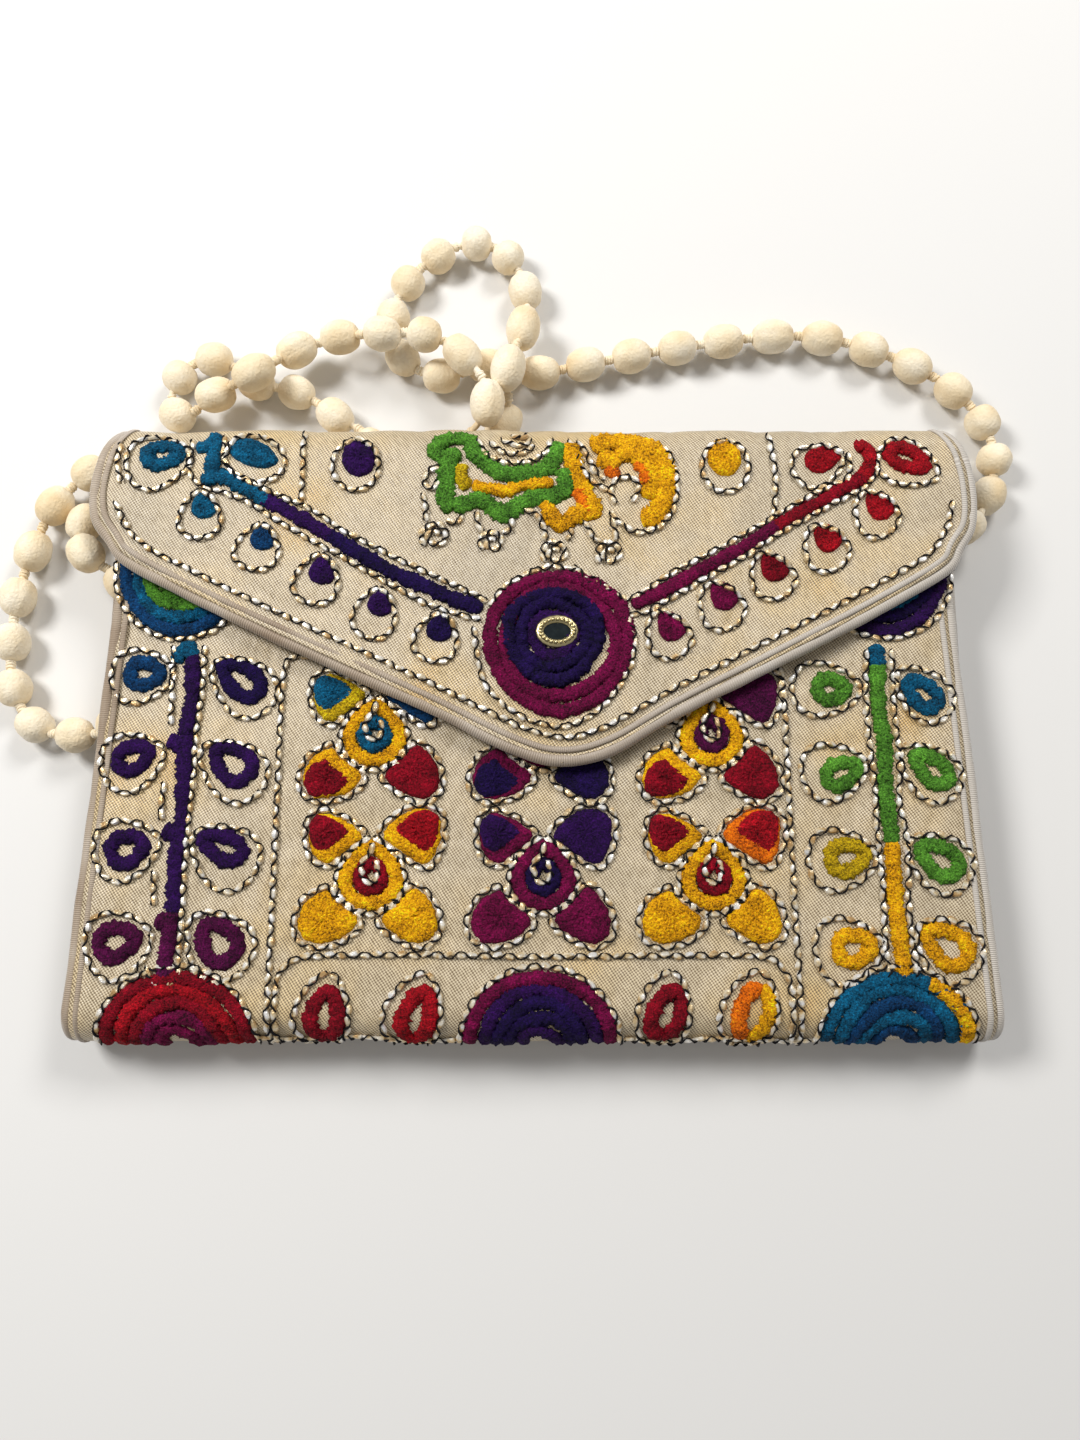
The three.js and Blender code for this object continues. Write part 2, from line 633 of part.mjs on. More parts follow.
// Two ovals and the elephant under the top fold
[["left", -46.4, VIOLET], ["right", 49.5, YELLOW]].forEach(([name, x, colour]) => {
  const solid = motif([ellipse(x, TOP - OVAL_DROP, OVAL_WIDTH, OVAL_LENGTH)], flapStitches);
  add(`flap_oval_${name}`, solid, cloth(colour));
});
const ELEPHANT = [
  [-27.5, 6], [-23.5, 3.5], [12, 3.5], [27.5, 4.5], [33, 6.5], [36, 11], [37, 17.5],
  [34.5, 24.5], [30, 28.5], [25, 27.5], [23.5, 24.5], [28, 20.5], [28, 17], [25, 14.5],
  [21.5, 15], [18.5, 22.5], [19, 27], [22.5, 35.5], [18, 37.5], [14, 31.5], [11.5, 28.5],
  [9.5, 32], [10, 36.5], [1.5, 36.5], [2, 27.5], [-2.5, 24.5], [-6.5, 30.5], [-8, 35],
  [-12.5, 35.5], [-14, 28.5], [-16.5, 25], [-20.5, 31.5], [-22.5, 36], [-28.5, 35.5],
  [-29, 27.5], [-24.5, 24.5], [-24, 18.5], [-22.5, 13.5], [-27, 11],
].map(([x, drop]) => new THREE.Vector2(x, TOP - drop));
add("elephant", motif([ELEPHANT], flapStitches), cloth(GREEN));

// The flap's medallion: a ring, a heart and a framed mirror, each in the seat that the last one leaves
const heartY = TOP - HEART_DROP;
const mirrorY = TOP - MIRROR_DROP;
const mirrorOval = (length, width, gap = 0) =>
  ellipse(MIRROR_X, mirrorY, length + 2 * gap, width + 2 * gap);
const medallion = motif(
  [circle(MEDALLION_X, TOP - MEDALLION_DROP, MEDALLION_DIAMETER)],
  flapStitches,
  [circle(HEART_X, heartY, HEART_DIAMETER + 2 * SEAM_GAP)],
);
add("flap_medallion", medallion, cloth(MAROON));
const heart = motif(
  [circle(HEART_X, heartY, HEART_DIAMETER)],
  flapStitches,
  [mirrorOval(MIRROR_RING_LENGTH, MIRROR_RING_WIDTH, SEAM_GAP)],
);
add("flap_medallion_heart", heart, cloth(VIOLET));
const mirrorRing = upright(
  mirrorOval(MIRROR_RING_LENGTH, MIRROR_RING_WIDTH),
  FLAP_TOP,
  FLAP_TOP + MIRROR_RING_HEIGHT,
  [mirrorOval(MIRROR_LENGTH, MIRROR_WIDTH, SEAM_GAP)],
);
add("mirror_ring", mirrorRing, cloth(GILT_WIRE, 0.4, 0.8));
const mirror = upright(mirrorOval(MIRROR_LENGTH, MIRROR_WIDTH), FLAP_TOP, FLAP_TOP + MIRROR_THICKNESS);
add("mirror", mirror, cloth(MIRROR_GREY, 0.05, 1));

// The strap, from the right gusset over the table and back to the left gusset
const knotX = webX + SEAM_GAP + KNOT_DIAMETER / 2;
const knots = SIDES.map(([, side]) => new THREE.Vector3(side * knotX, TOP - KNOT_DROP, KNOT_HEIGHT));
SIDES.forEach(([name], i) => {
  const knot = new THREE.SphereGeometry(KNOT_DIAMETER / 2, STRAND_SIDES, 6);
  add(`strap_knot_${name}`, solidOf(knot.translate(...knots[i])), cloth(BEAD_CREAM));
});
const STRAP_BEADS = [
  [115.5, 54.5, 9.4], [125, 65.5, 5], [127.5, 76, 5], [125, 87, 5], [117.5, 96.5, 5], [106.5, 104, 5],
  [94.5, 109, 5], [81.5, 112.5, 5], [67.5, 113, 5], [53.5, 111.5, 5], [40.5, 109.5, 5], [27.5, 107, 5],
  [14.5, 104.5, 5], [1.5, 102, 5], [-13, 104, 5], [-26, 101, 5], [-37, 106.5, 5], [-40, 119, 5],
  [-36, 129.5, 5], [-27.5, 138, 5], [-16.5, 142, 5], [-7.5, 137.5, 5], [-2.5, 127, 5], [-3, 113, 9.5],
  [-7, 98.5, 14.2], [-8.5, 86.5, 4.9], [-20, 78.4, 4.9], [-12.5, 88, 14.8], [-19.5, 102.5, 14],
  [-30, 108.5, 14], [-41.5, 108.5, 14.5], [-54, 110.5, 9], [-66, 106.5, 9], [-76, 97, 14.5],
  [-88, 93.5, 8.5], [-99.5, 89.2, 5], [-99.5, 100.5, 5], [-90, 106, 5], [-78, 99, 4.9],
  [-66.5, 96, 5], [-55.5, 89, 5], [-46, 79.6, 4.9],
  [-59.5, 78.4, 4.9], [-73, 78.4, 4.9], [-86.5, 78.4, 4.9], [-100, 78.4, 4.9], [-112.5, 78.2, 4.9],
  [-122.5, 72, 5], [-131.5, 62.5, 5], [-136.5, 49.5, 5], [-139.5, 36.5, 5], [-140, 24, 5], [-138.5, 11.5, 5],
  [-132, 1.5, 5], [-120.5, -1.5, 6.5], [-109, 1.5, 8.8], [-107, 15, 8.8], [-107, 28, 8.8], [-110, 39.5, 8.8],
  [-119, 46.5, 12], [-123, 57.5, 5], [-113, 61, 12],
].map((place) => new THREE.Vector3(...place));
const strapStops = [knots[1], ...STRAP_BEADS, knots[0]];
const beadRings = STRAP_BEADS.flatMap((bead, i) => {
  const before = strapStops[i];
  const after = strapStops[i + 2];
  const direction = after.clone().sub(before).setZ(0).normalize();
  const spacing = (bead.distanceTo(before) + bead.distanceTo(after)) / 2;
  const half = Math.min(spacing - BARE_THREAD, BEAD_DIAMETER * BEAD_STRETCH) / 2;
  const shoulder = (BEAD_SHOULDER * BEAD_DIAMETER) / 2;
  return [
    [-half, THREAD_DIAMETER / 2],
    [-half / 2, shoulder],
    [half / 2, shoulder],
    [half, THREAD_DIAMETER / 2],
  ].map(([offset, radius]) => {
    const centre = bead.clone().addScaledVector(direction, offset);
    return { centre, direction, radius };
  });
});

// The bare thread that ends just short of a knot, and its ring's direction along the strand
function threadEnd(knot, bead, sign) {
  const away = bead.clone().sub(knot).normalize();
  const centre = knot.clone().addScaledVector(away, KNOT_DIAMETER / 2 + SEAM_GAP);
  return { centre, direction: away.multiplyScalar(sign), radius: THREAD_DIAMETER / 2 };
}
const strandRings = [
  threadEnd(knots[1], STRAP_BEADS[0], 1),
  ...beadRings,
  threadEnd(knots[0], STRAP_BEADS.at(-1), -1),
];
add("bead_strap", skinOver(strandRings, STRAND_SIDES), cloth(BEAD_CREAM));

export default clutch;
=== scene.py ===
"""The looks of an embroidered envelope clutch on a strap of cloth-covered beads.

Shapes are worked out in millimetres and scaled to metres when a piece is finished.
X runs to the right, Y towards the top fold and Z up from the table.
"""

import math

import bmesh
import bpy
from mathutils import Matrix, Vector, noise


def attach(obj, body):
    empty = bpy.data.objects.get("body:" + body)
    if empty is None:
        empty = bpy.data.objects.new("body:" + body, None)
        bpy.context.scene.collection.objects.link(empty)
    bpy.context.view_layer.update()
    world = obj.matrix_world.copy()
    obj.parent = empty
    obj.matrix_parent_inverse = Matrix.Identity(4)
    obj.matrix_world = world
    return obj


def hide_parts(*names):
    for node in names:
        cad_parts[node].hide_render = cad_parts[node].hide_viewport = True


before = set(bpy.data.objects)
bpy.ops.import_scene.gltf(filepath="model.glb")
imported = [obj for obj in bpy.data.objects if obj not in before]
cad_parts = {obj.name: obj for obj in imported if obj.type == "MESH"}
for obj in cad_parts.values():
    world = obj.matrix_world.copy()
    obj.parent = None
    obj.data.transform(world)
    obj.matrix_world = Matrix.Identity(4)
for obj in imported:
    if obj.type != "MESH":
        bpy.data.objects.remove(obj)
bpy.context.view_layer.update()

MM = 0.001

# The closed bag, over its piping, as the solids have it
BAG_WIDTH = 230
MOUTH_WIDTH = 214.6
TOP = 78.8
BOTTOM = -78.8
BODY_DEPTH = 17.6
MOUTH_Y = 60
FLAP_TOP = 23.1
LIFT_RUN = 34.8
FOLD_WIDEST_HEIGHT = 16.5
FLAP_TURN_RUN = 10.8
FLAP_TIP = Vector((7.5, -13))
FLAP_SIDE_Y = {-1: 46, 1: 43.5}
FLAP_BULGE = 2.4
DRAWN_FROM = 58
CORNER_DRAW = 5.5
CORNER_ROUNDNESS = 2.2
CLOTH = 1.1
CLOTH_INSET = 2.4
LINING_DEPTH = 1.5
LINING = 0.6
LINING_INSET = 1.6
LINING_START = 0.5
LINING_SHORTER = 3.5
GUSSET_DEPTH = 2.4
GUSSET_INSET = 4.2
GUSSET_CLOTH = 0.8
GUSSET_WEB_X = 97.2
GUSSET_CORNER = 4
PIPING_RADIUS = 1.8
WELT_INSET = 4.1
WELT_HALF = 0.75

# The strap
BEAD_DIAMETER = 9.8
BEAD_LONGEST = 1.35 * BEAD_DIAMETER
THREAD_DIAMETER = 1.8
THREAD_SPACING = 1.5
THREAD_SHOWING = 1.9
SPAN_FULLNESS = 1.15
STRAP_END_X = 100.7
STRAP_END_Y = 56
STRAP_END_Z = 9
STRAP_BEADS = [
    (115.5, 54.5, 9.4), (125, 65.5, 5), (127.5, 76, 5), (125, 87, 5), (117.5, 96.5, 5), (106.5, 104, 5),
    (94.5, 109, 5), (81.5, 112.5, 5), (67.5, 113, 5), (53.5, 111.5, 5), (40.5, 109.5, 5), (27.5, 107, 5),
    (14.5, 104.5, 5), (1.5, 102, 5), (-13, 104, 5), (-26, 101, 5), (-37, 106.5, 5), (-40, 119, 5),
    (-36, 129.5, 5), (-27.5, 138, 5), (-16.5, 142, 5), (-7.5, 137.5, 5), (-2.5, 127, 5), (-3, 113, 9.5),
    (-7, 98.5, 14.2), (-8.5, 86.5, 4.9), (-20, 78.4, 4.9), (-12.5, 88, 14.8), (-19.5, 102.5, 14),
    (-30, 108.5, 14), (-41.5, 108.5, 14.5), (-54, 110.5, 9), (-66, 106.5, 9), (-76, 97, 14.5),
    (-88, 93.5, 8.5), (-99.5, 89.2, 5), (-99.5, 100.5, 5), (-90, 106, 5), (-78, 99, 4.9),
    (-66.5, 96, 5), (-55.5, 89, 5), (-46, 79.6, 4.9), (-59.5, 78.4, 4.9), (-73, 78.4, 4.9),
    (-86.5, 78.4, 4.9), (-100, 78.4, 4.9), (-112.5, 78.2, 4.9), (-122.5, 72, 5), (-131.5, 62.5, 5),
    (-136.5, 49.5, 5), (-139.5, 36.5, 5), (-140, 24, 5), (-138.5, 11.5, 5), (-132, 1.5, 5),
    (-120.5, -1.5, 6.5), (-109, 1.5, 8.8), (-107, 15, 8.8), (-107, 28, 8.8), (-110, 39.5, 8.8),
    (-119, 46.5, 12), (-123, 57.5, 5), (-113, 61, 12),
]

# How finely lines are drawn
BEND_STEPS = 24
TURN_STEPS = 16
EDGE_STEPS = 420
SPAN_STEPS = 12
OVAL_STEPS = 16

UPWARDS = Vector((0, 0, 1))


# The camera looks down on the bag, a little from the front
camera = bpy.data.objects.new("camera", bpy.data.cameras.new("camera"))
camera.data.sensor_width = 36
camera.data.lens = 27.05
camera.data.clip_start = 0.01
camera.location = Vector((1.7, -48.0, 287.2)) * MM
camera.rotation_euler = (math.radians(10.2), 0, 0)
bpy.context.scene.collection.objects.link(camera)
bpy.context.scene.camera = camera


# Shader nodes

class Tint:
    """A shader socket that takes Python's arithmetic."""

    def __init__(self, finish, socket):
        self.finish = finish
        self.socket = socket

    def maths(self, operation, first, second):
        return self.finish.node("ShaderNodeMath", {"operation": operation}, {0: first, 1: second})

    def __add__(self, other):
        return self.maths("ADD", self, other)

    def __sub__(self, other):
        return self.maths("SUBTRACT", self, other)

    def __mul__(self, other):
        return self.maths("MULTIPLY", self, other)

    __radd__ = __add__
    __rmul__ = __mul__


class Finish:
    """One material: its name, and the values of its shader's own sockets."""

    def __init__(self, name, **settings):
        self.material = bpy.data.materials.new(name)
        self.material.use_nodes = True
        self.tree = self.material.node_tree
        self.shader = self.tree.nodes["Principled BSDF"]
        for socket, value in settings.items():
            self.shader.inputs[socket.replace("_", " ")].default_value = value

    def node(self, kind, settings=None, values=None, output=0):
        made = self.tree.nodes.new(kind)
        for name, value in (settings or {}).items():
            if name == "stops":
                self.set_stops(made.color_ramp, value)
            else:
                setattr(made, name, value)
        for name, value in (values or {}).items():
            self.join(value, made.inputs[name])
        return Tint(self, made.outputs[output])

    def set_stops(self, ramp, stops):
        while len(ramp.elements) < len(stops):
            ramp.elements.new(0.5)
        for element, (place, colour) in zip(ramp.elements, stops):
            element.position = place
            element.color = colour

    def join(self, value, socket):
        if isinstance(value, Tint):
            self.tree.links.new(value.socket, socket)
        else:
            socket.default_value = value

    def place(self):
        return self.node("ShaderNodeTexCoord", output="Object")

    def unrolled(self):
        return self.node("ShaderNodeUVMap", {"uv_map": "cloth"})

    def stretched(self, place, scale, turn=0):
        return self.node("ShaderNodeMapping", values={0: place, 2: (0, 0, turn), 3: scale})

    def noise(self, place, scale, detail=2, roughness=0.5):
        values = {"Vector": place, "Scale": scale, "Detail": detail, "Roughness": roughness}
        return self.node("ShaderNodeTexNoise", values=values)

    def wave(self, place, scale, distortion=0, direction="X"):
        settings = {"wave_type": "BANDS", "bands_direction": direction}
        values = {"Vector": place, "Scale": scale, "Distortion": distortion}
        return self.node("ShaderNodeTexWave", settings, values, output="Fac")

    def ramp(self, factor, *stops):
        return self.node("ShaderNodeValToRGB", {"stops": stops}, {0: factor})

    def blend(self, factor, first, second, how="MIX"):
        settings = {"data_type": "RGBA", "blend_type": how}
        return self.node("ShaderNodeMix", settings, {0: factor, 6: first, 7: second}, output=2)

    def feed(self, socket, value):
        self.join(value, self.shader.inputs[socket])

    def bump(self, height, distance, strength=1):
        values = {"Height": height, "Distance": distance * MM, "Strength": strength}
        self.feed("Normal", self.node("ShaderNodeBump", values=values))


def colour(red, green, blue):
    """A colour as seen, from 0 to 255, turned into the light that a shader takes."""
    def light(value):
        share = value / 255
        return share / 12.92 if share <= 0.04045 else ((share + 0.055) / 1.055) ** 2.4
    return light(red), light(green), light(blue), 1


def shade(base, factor):
    return tuple(min(1, channel * factor) for channel in base[:3]) + (1,)


# Finishes

def satin_finish():
    finish = Finish("satin", Specular_IOR_Level=0.6)
    flat = finish.unrolled()
    twill = finish.stretched(flat, (1, 1, 1), 0.6)
    threads = finish.wave(twill, 470, 1.6)
    crossing = finish.wave(twill, 520, 1.8, "Y")
    slubs = finish.noise(finish.stretched(twill, (1, 0.2, 1)), 1700, 3)
    weave = threads * 0.34 + crossing * 0.26 + slubs * 0.4
    stains = finish.noise(flat, 24, 3, 0.6)
    ground = finish.ramp(
        stains,
        (0.3, colour(206, 192, 164)),
        (0.5, colour(222, 204, 170)),
        (0.62, colour(228, 202, 152)),
        (0.72, colour(230, 190, 122)),
    )
    finish.feed("Base Color", finish.blend((weave - 0.26) * 2.3, colour(112, 92, 64), ground))
    finish.feed("Roughness", 0.2 + 0.3 * slubs)
    creases = finish.noise(finish.stretched(flat, (1, 0.45, 1), 0.4), 105, 3, 0.55)
    finish.bump(weave * 0.14 + creases, 1.5, 0.8)
    return finish.material


def lining_finish():
    finish = Finish("lining", Sheen_Weight=0.1)
    flat = finish.unrolled()
    weave = finish.wave(flat, 700) * 0.5 + finish.wave(flat, 700, direction="Y") * 0.5
    finish.feed("Base Color", finish.blend(weave, colour(198, 186, 164), colour(220, 210, 190)))
    finish.feed("Roughness", 0.8 + 0.1 * weave)
    finish.bump(weave, 0.15, 0.6)
    return finish.material


def piping_finish():
    finish = Finish("piping", Sheen_Weight=0.35, Sheen_Roughness=0.4)
    ribs = finish.wave(finish.unrolled(), 620, 0.8, "Y")
    worn = finish.noise(finish.place(), 60, 3)
    ground = finish.ramp(
        worn,
        (0.35, colour(150, 130, 108)),
        (0.6, colour(176, 160, 140)),
        (0.75, colour(192, 182, 170)),
    )
    # Painted sheen: the piping is painted lighter and more silvery towards the bag's right side, where
    # light glints on it; its cloth is the same all round.
    sideways = finish.node("ShaderNodeSeparateXYZ", values={0: finish.place()}, output=0)
    ground_with_painted_sheen = finish.blend((sideways + 0.03) * 6, ground, colour(206, 200, 190))
    finish.feed("Base Color", finish.blend(ribs * 0.35, ground_with_painted_sheen, colour(126, 108, 90)))
    finish.feed("Roughness", 0.42 + 0.15 * worn)
    finish.bump(ribs, 0.18, 0.6)
    return finish.material


def pile_finish(name, base):
    finish = Finish(
        f"pile_{name}", Roughness=0.9, Specular_IOR_Level=0.2,
        Sheen_Weight=0.06, Sheen_Roughness=0.5, Sheen_Tint=shade(base, 2.5),
    )
    place = finish.place()
    tufts = finish.noise(place, 1900, 3, 0.65)
    patches = finish.noise(place, 240, 2)
    # Partly the yarn's own uneven tone, partly painted light: painted shade darkens the pile's pits down to
    # 0.12 of its colour, and painted highlights light its tuft tips up to 2.8 times.
    tone_and_painted_light = tufts * 0.7 + patches * 0.3
    finish.feed("Base Color", finish.ramp(
        tone_and_painted_light,
        (0.36, shade(base, 0.12)),
        (0.47, shade(base, 0.75)),
        (0.57, shade(base, 1.35)),
        (0.68, shade(base, 2.8)),
    ))
    finish.bump(tufts, 0.9, 1)
    return finish.material


def cord_finish():
    finish = Finish("silver_cord", Metallic=0.4)
    place = finish.place()
    tone = finish.noise(place, 380, 2)
    strands = finish.noise(place, 2400, 1)
    # Partly the twisted thread's own silver and golden tones, partly painted light: the golden-tan end is
    # painted shade for the lobes' shaded side, and the near-white end is a painted glint.
    ground = finish.ramp(
        tone,
        (0.34, colour(196, 156, 100)),
        (0.44, colour(228, 204, 158)),
        (0.54, colour(244, 236, 216)),
        (0.66, colour(252, 252, 250)),
    )
    finish.feed("Base Color", finish.blend(strands * 0.45, ground, colour(150, 128, 100)))
    finish.feed("Roughness", 0.2 + 0.2 * tone)
    finish.bump(strands, 0.15, 0.8)
    return finish.material


def strand_finish():
    finish = Finish("dark_thread", Roughness=0.6, Specular_IOR_Level=0.15)
    fuzz = finish.noise(finish.place(), 1800, 1)
    finish.feed("Base Color", finish.blend(fuzz, colour(5, 4, 7), colour(22, 19, 22)))
    finish.bump(fuzz, 0.1, 0.6)
    return finish.material


def bead_finish():
    finish = Finish("bead_cloth", Roughness=0.8, Sheen_Weight=0.2, Sheen_Roughness=0.5)
    place = finish.place()
    weave = finish.noise(place, 1400, 2)
    tone = finish.noise(place, 90, 3)
    ground = finish.ramp(
        tone,
        (0.32, colour(228, 204, 162)),
        (0.5, colour(240, 224, 192)),
        (0.66, colour(246, 236, 214)),
    )
    finish.feed("Base Color", finish.blend(weave * 0.4, ground, colour(208, 182, 138)))
    finish.bump(weave, 0.3, 0.9)
    return finish.material


def metal_finish(name, base, roughness):
    finish = Finish(name, Metallic=1)
    scratches = finish.noise(finish.place(), 900, 3)
    finish.feed("Base Color", finish.blend(scratches, shade(base, 0.8), base))
    finish.feed("Roughness", roughness + 0.15 * scratches)
    return finish.material


def mirror_finish():
    finish = Finish("mirror_glass", Metallic=0.8)
    specks = finish.noise(finish.place(), 700, 2)
    finish.feed("Base Color", finish.blend(specks, colour(30, 36, 38), colour(66, 76, 78)))
    finish.feed("Roughness", 0.06 + 0.1 * specks)
    return finish.material


SATIN = satin_finish()
COTTON = lining_finish()
PIPING = piping_finish()
SILVER_CORD = cord_finish()
DARK_THREAD = strand_finish()
BEAD_CLOTH = bead_finish()
SNAP_STEEL = metal_finish("snap_steel", colour(190, 190, 186), 0.25)
GILT_WIRE = metal_finish("gilt_wire", colour(218, 202, 152), 0.3)
MIRROR_GLASS = mirror_finish()
PILES = {
    name: pile_finish(name, colour(*channels))
    for name, channels in {
        "teal": (4, 80, 112),
        "blue": (6, 56, 98),
        "navy": (24, 5, 60),
        "violet": (40, 5, 68),
        "plum": (76, 4, 56),
        "maroon": (104, 3, 56),
        "crimson": (126, 3, 24),
        "red": (152, 7, 22),
        "orange": (236, 108, 8),
        "yellow": (242, 164, 8),
        "olive": (190, 156, 14),
        "green": (78, 132, 40),
    }.items()
}


# Lines

def along(points, spacing, closed=False):
    """Evenly spaced points on a smooth line through the given ones, with both ends kept."""
    points = [Vector(p) for p in points]
    ring = points if closed else [points[0] * 2 - points[1], *points, points[-1] * 2 - points[-2]]
    fine = []
    spans = len(points) if closed else len(points) - 1
    for i in range(spans):
        offset = i if closed else i + 1
        before, here, after, beyond = (ring[(offset + k - 1) % len(ring)] for k in range(4))
        for step in range(SPAN_STEPS):
            t = step / SPAN_STEPS
            fine.append(
                here * (1 - 2.5 * t ** 2 + 1.5 * t ** 3)
                + after * (0.5 * t + 2 * t ** 2 - 1.5 * t ** 3)
                + before * (-0.5 * t + t ** 2 - 0.5 * t ** 3)
                + beyond * (-0.5 * t ** 2 + 0.5 * t ** 3)
            )
    fine.append(points[0] if closed else points[-1])
    return even(fine, spacing)


def even(fine, spacing):
    """The same polyline with evenly spaced points."""
    lengths = [0]
    for first, second in zip(fine, fine[1:]):
        lengths.append(lengths[-1] + (second - first).length)
    steps = max(2, round(lengths[-1] / spacing))
    result = []
    k = 0
    for step in range(steps + 1):
        reach = lengths[-1] * step / steps
        while k < len(fine) - 2 and lengths[k + 1] < reach:
            k += 1
        span = lengths[k + 1] - lengths[k]
        share = (reach - lengths[k]) / span if span else 0
        result.append(fine[k].lerp(fine[k + 1], min(1, share)))
    return result


def beside(line, distance):
    """A flat line moved to its left."""
    moved = []
    for i, point in enumerate(line):
        step = line[min(i + 1, len(line) - 1)] - line[max(i - 1, 0)]
        moved.append(point + Vector((-step.y, step.x)).normalized() * distance)
    return moved


def oval(x, y, length, width, turn=0, start=0, end=360, point=0):
    """Points of an oval, whose length lies at the angle turn; point makes one end narrower."""
    closed = abs(end - start) >= 360
    points = []
    for k in range(OVAL_STEPS + (not closed)):
        around = math.radians(start + (end - start) * k / OVAL_STEPS)
        narrowing = 1 - point * math.cos(around)
        across = Vector((math.cos(around) * length / 2, math.sin(around) * narrowing * width / 2))
        points.append(Vector((x, y)) + Matrix.Rotation(math.radians(turn), 2) @ across)
    return points


# The bag's outer face: where a place on the unrolled cloth comes to lie

def drawn_in(y):
    """How far the sides are drawn in towards the top fold, whose corners are round."""
    return CORNER_DRAW * max(0, (y - DRAWN_FROM) / (TOP - DRAWN_FROM)) ** CORNER_ROUNDNESS


def face_profile():
    """The outer face in the YZ plane, from the front's mouth round the bottom, back and top fold."""
    radius = BODY_DEPTH / 2
    points = [Vector((MOUTH_Y, BODY_DEPTH))]
    points += [
        Vector((BOTTOM + radius - radius * math.sin(a), radius + radius * math.cos(a)))
        for a in (math.pi * k / BEND_STEPS for k in range(BEND_STEPS + 1))
    ]
    points += [
        Vector((
            TOP - LIFT_RUN * (1 - math.sin(a)),
            FOLD_WIDEST_HEIGHT * (1 - math.cos(a)),
        ))
        for a in (math.pi / 2 * k / BEND_STEPS for k in range(BEND_STEPS + 1))
    ]
    points += [
        Vector((
            TOP - FLAP_TURN_RUN * (1 - math.cos(a)),
            FOLD_WIDEST_HEIGHT + (FLAP_TOP - FOLD_WIDEST_HEIGHT) * math.sin(a),
        ))
        for a in (math.pi / 2 * k / TURN_STEPS for k in range(1, TURN_STEPS + 1))
    ]
    points.append(Vector((FLAP_TIP.y, FLAP_TOP)))
    return points


PROFILE = face_profile()
PROFILE_RUN = [0]
for low, high in zip(PROFILE, PROFILE[1:]):
    PROFILE_RUN.append(PROFILE_RUN[-1] + (high - low).length)
RUN_END = PROFILE_RUN[-1]
RUN_BOTTOM = MOUTH_Y - (BOTTOM + BODY_DEPTH / 2)
RUN_TURNED = RUN_END - (TOP - FLAP_TURN_RUN - FLAP_TIP.y)
TURNED = len(PROFILE) - 2


def profile_place(run):
    """The outer face's point (y, z) at a run along it, and its outward direction."""
    k = 0
    while k < len(PROFILE) - 2 and PROFILE_RUN[k + 1] < run:
        k += 1
    low, high = PROFILE[k], PROFILE[k + 1]
    share = (run - PROFILE_RUN[k]) / (PROFILE_RUN[k + 1] - PROFILE_RUN[k])
    before = PROFILE[max(k - 1, 0)]
    beyond = PROFILE[min(k + 2, len(PROFILE) - 1)]
    step = (high - before).normalized().lerp((beyond - low).normalized(), min(1, max(0, share)))
    return low.lerp(high, share), Vector((step.y, -step.x)).normalized()


def pucker(x, run):
    """How far the cloth stands out of its plain form, in millimetres."""
    wide = noise.noise(Vector((x / 34, run / 34, 1.7)))
    fine = noise.noise(Vector((x / 11, run / 11, 5.2)))
    crease = abs(noise.noise(Vector((x / 19 + run / 60, run / 23, 9.1))))
    return 0.45 * wide + 0.3 * fine - 0.45 * (1 - crease) ** 8


def face(x, run, depth=0):
    """The point of the cloth at x and run, and its outward direction."""
    (y, z), (out_y, out_z) = profile_place(run)
    out = Vector((0, out_y, out_z))
    stand = pucker(x, run)
    if z < 1:
        stand = -abs(stand)
    return Vector((x, y, z)) + out * (stand - depth), out


def on_front(x, y):
    low = BOTTOM + BODY_DEPTH / 2
    if y >= low:
        return face(x, MOUTH_Y - y)
    share = (low - y) / (BODY_DEPTH / 2)
    angle = math.asin(share) if share < 1 else math.pi / 2 + (share - 1)
    return face(x, RUN_BOTTOM + angle * BODY_DEPTH / 2)


def on_flap(x, y):
    if y <= TOP - FLAP_TURN_RUN:
        return face(x, RUN_END - (y - FLAP_TIP.y))
    k = TURNED
    while PROFILE[k].x < y and PROFILE[k].y >= FOLD_WIDEST_HEIGHT:
        k -= 1
    share = (PROFILE[k].x - y) / (PROFILE[k].x - PROFILE[k + 1].x)
    return face(x, PROFILE_RUN[k] + (PROFILE_RUN[k + 1] - PROFILE_RUN[k]) * min(1, max(0, share)))


def flap_outline(inset):
    """The flap's edge in plan, from the left end of the top fold to the right one."""
    def side(sign):
        corner = Vector((sign * BAG_WIDTH / 2, FLAP_SIDE_Y[sign]))
        edge = corner - FLAP_TIP
        bulge = Vector((edge.y, -edge.x)).normalized() * sign * FLAP_BULGE
        middle = FLAP_TIP + edge / 2 + bulge
        return [
            *(Vector((sign * (BAG_WIDTH / 2 - drawn_in(y)), y)) for y in (TOP, 75, 70, 64)),
            Vector((sign * BAG_WIDTH / 2, corner.y + 12)),
            corner + Vector((-sign * 1.2, 5.5)),
            corner + Vector((-sign * 4.6, 0.2)),
            corner.lerp(middle, 0.18) + bulge * 0.35,
            corner.lerp(middle, 0.55) + bulge * 0.4,
            middle - bulge * 0.1,
            FLAP_TIP.lerp(middle, 0.55) + bulge * 0.2,
            FLAP_TIP + Vector((sign * 13, 4.1)),
        ]
    points = [*side(-1), FLAP_TIP + Vector((0, 1.0)), *reversed(side(1))]
    return beside(along(points, 1.0), inset)


def front_half(y):
    share = (max(y, BOTTOM) - BOTTOM) / (MOUTH_Y - BOTTOM)
    return (BAG_WIDTH + (MOUTH_WIDTH - BAG_WIDTH) * share) / 2


def side_half(run, y):
    """Half the bag's width, over its piping, before the flap begins."""
    on_front_side = run <= RUN_BOTTOM + math.pi * BODY_DEPTH / 4
    return front_half(y) if on_front_side else BAG_WIDTH / 2 - drawn_in(y)


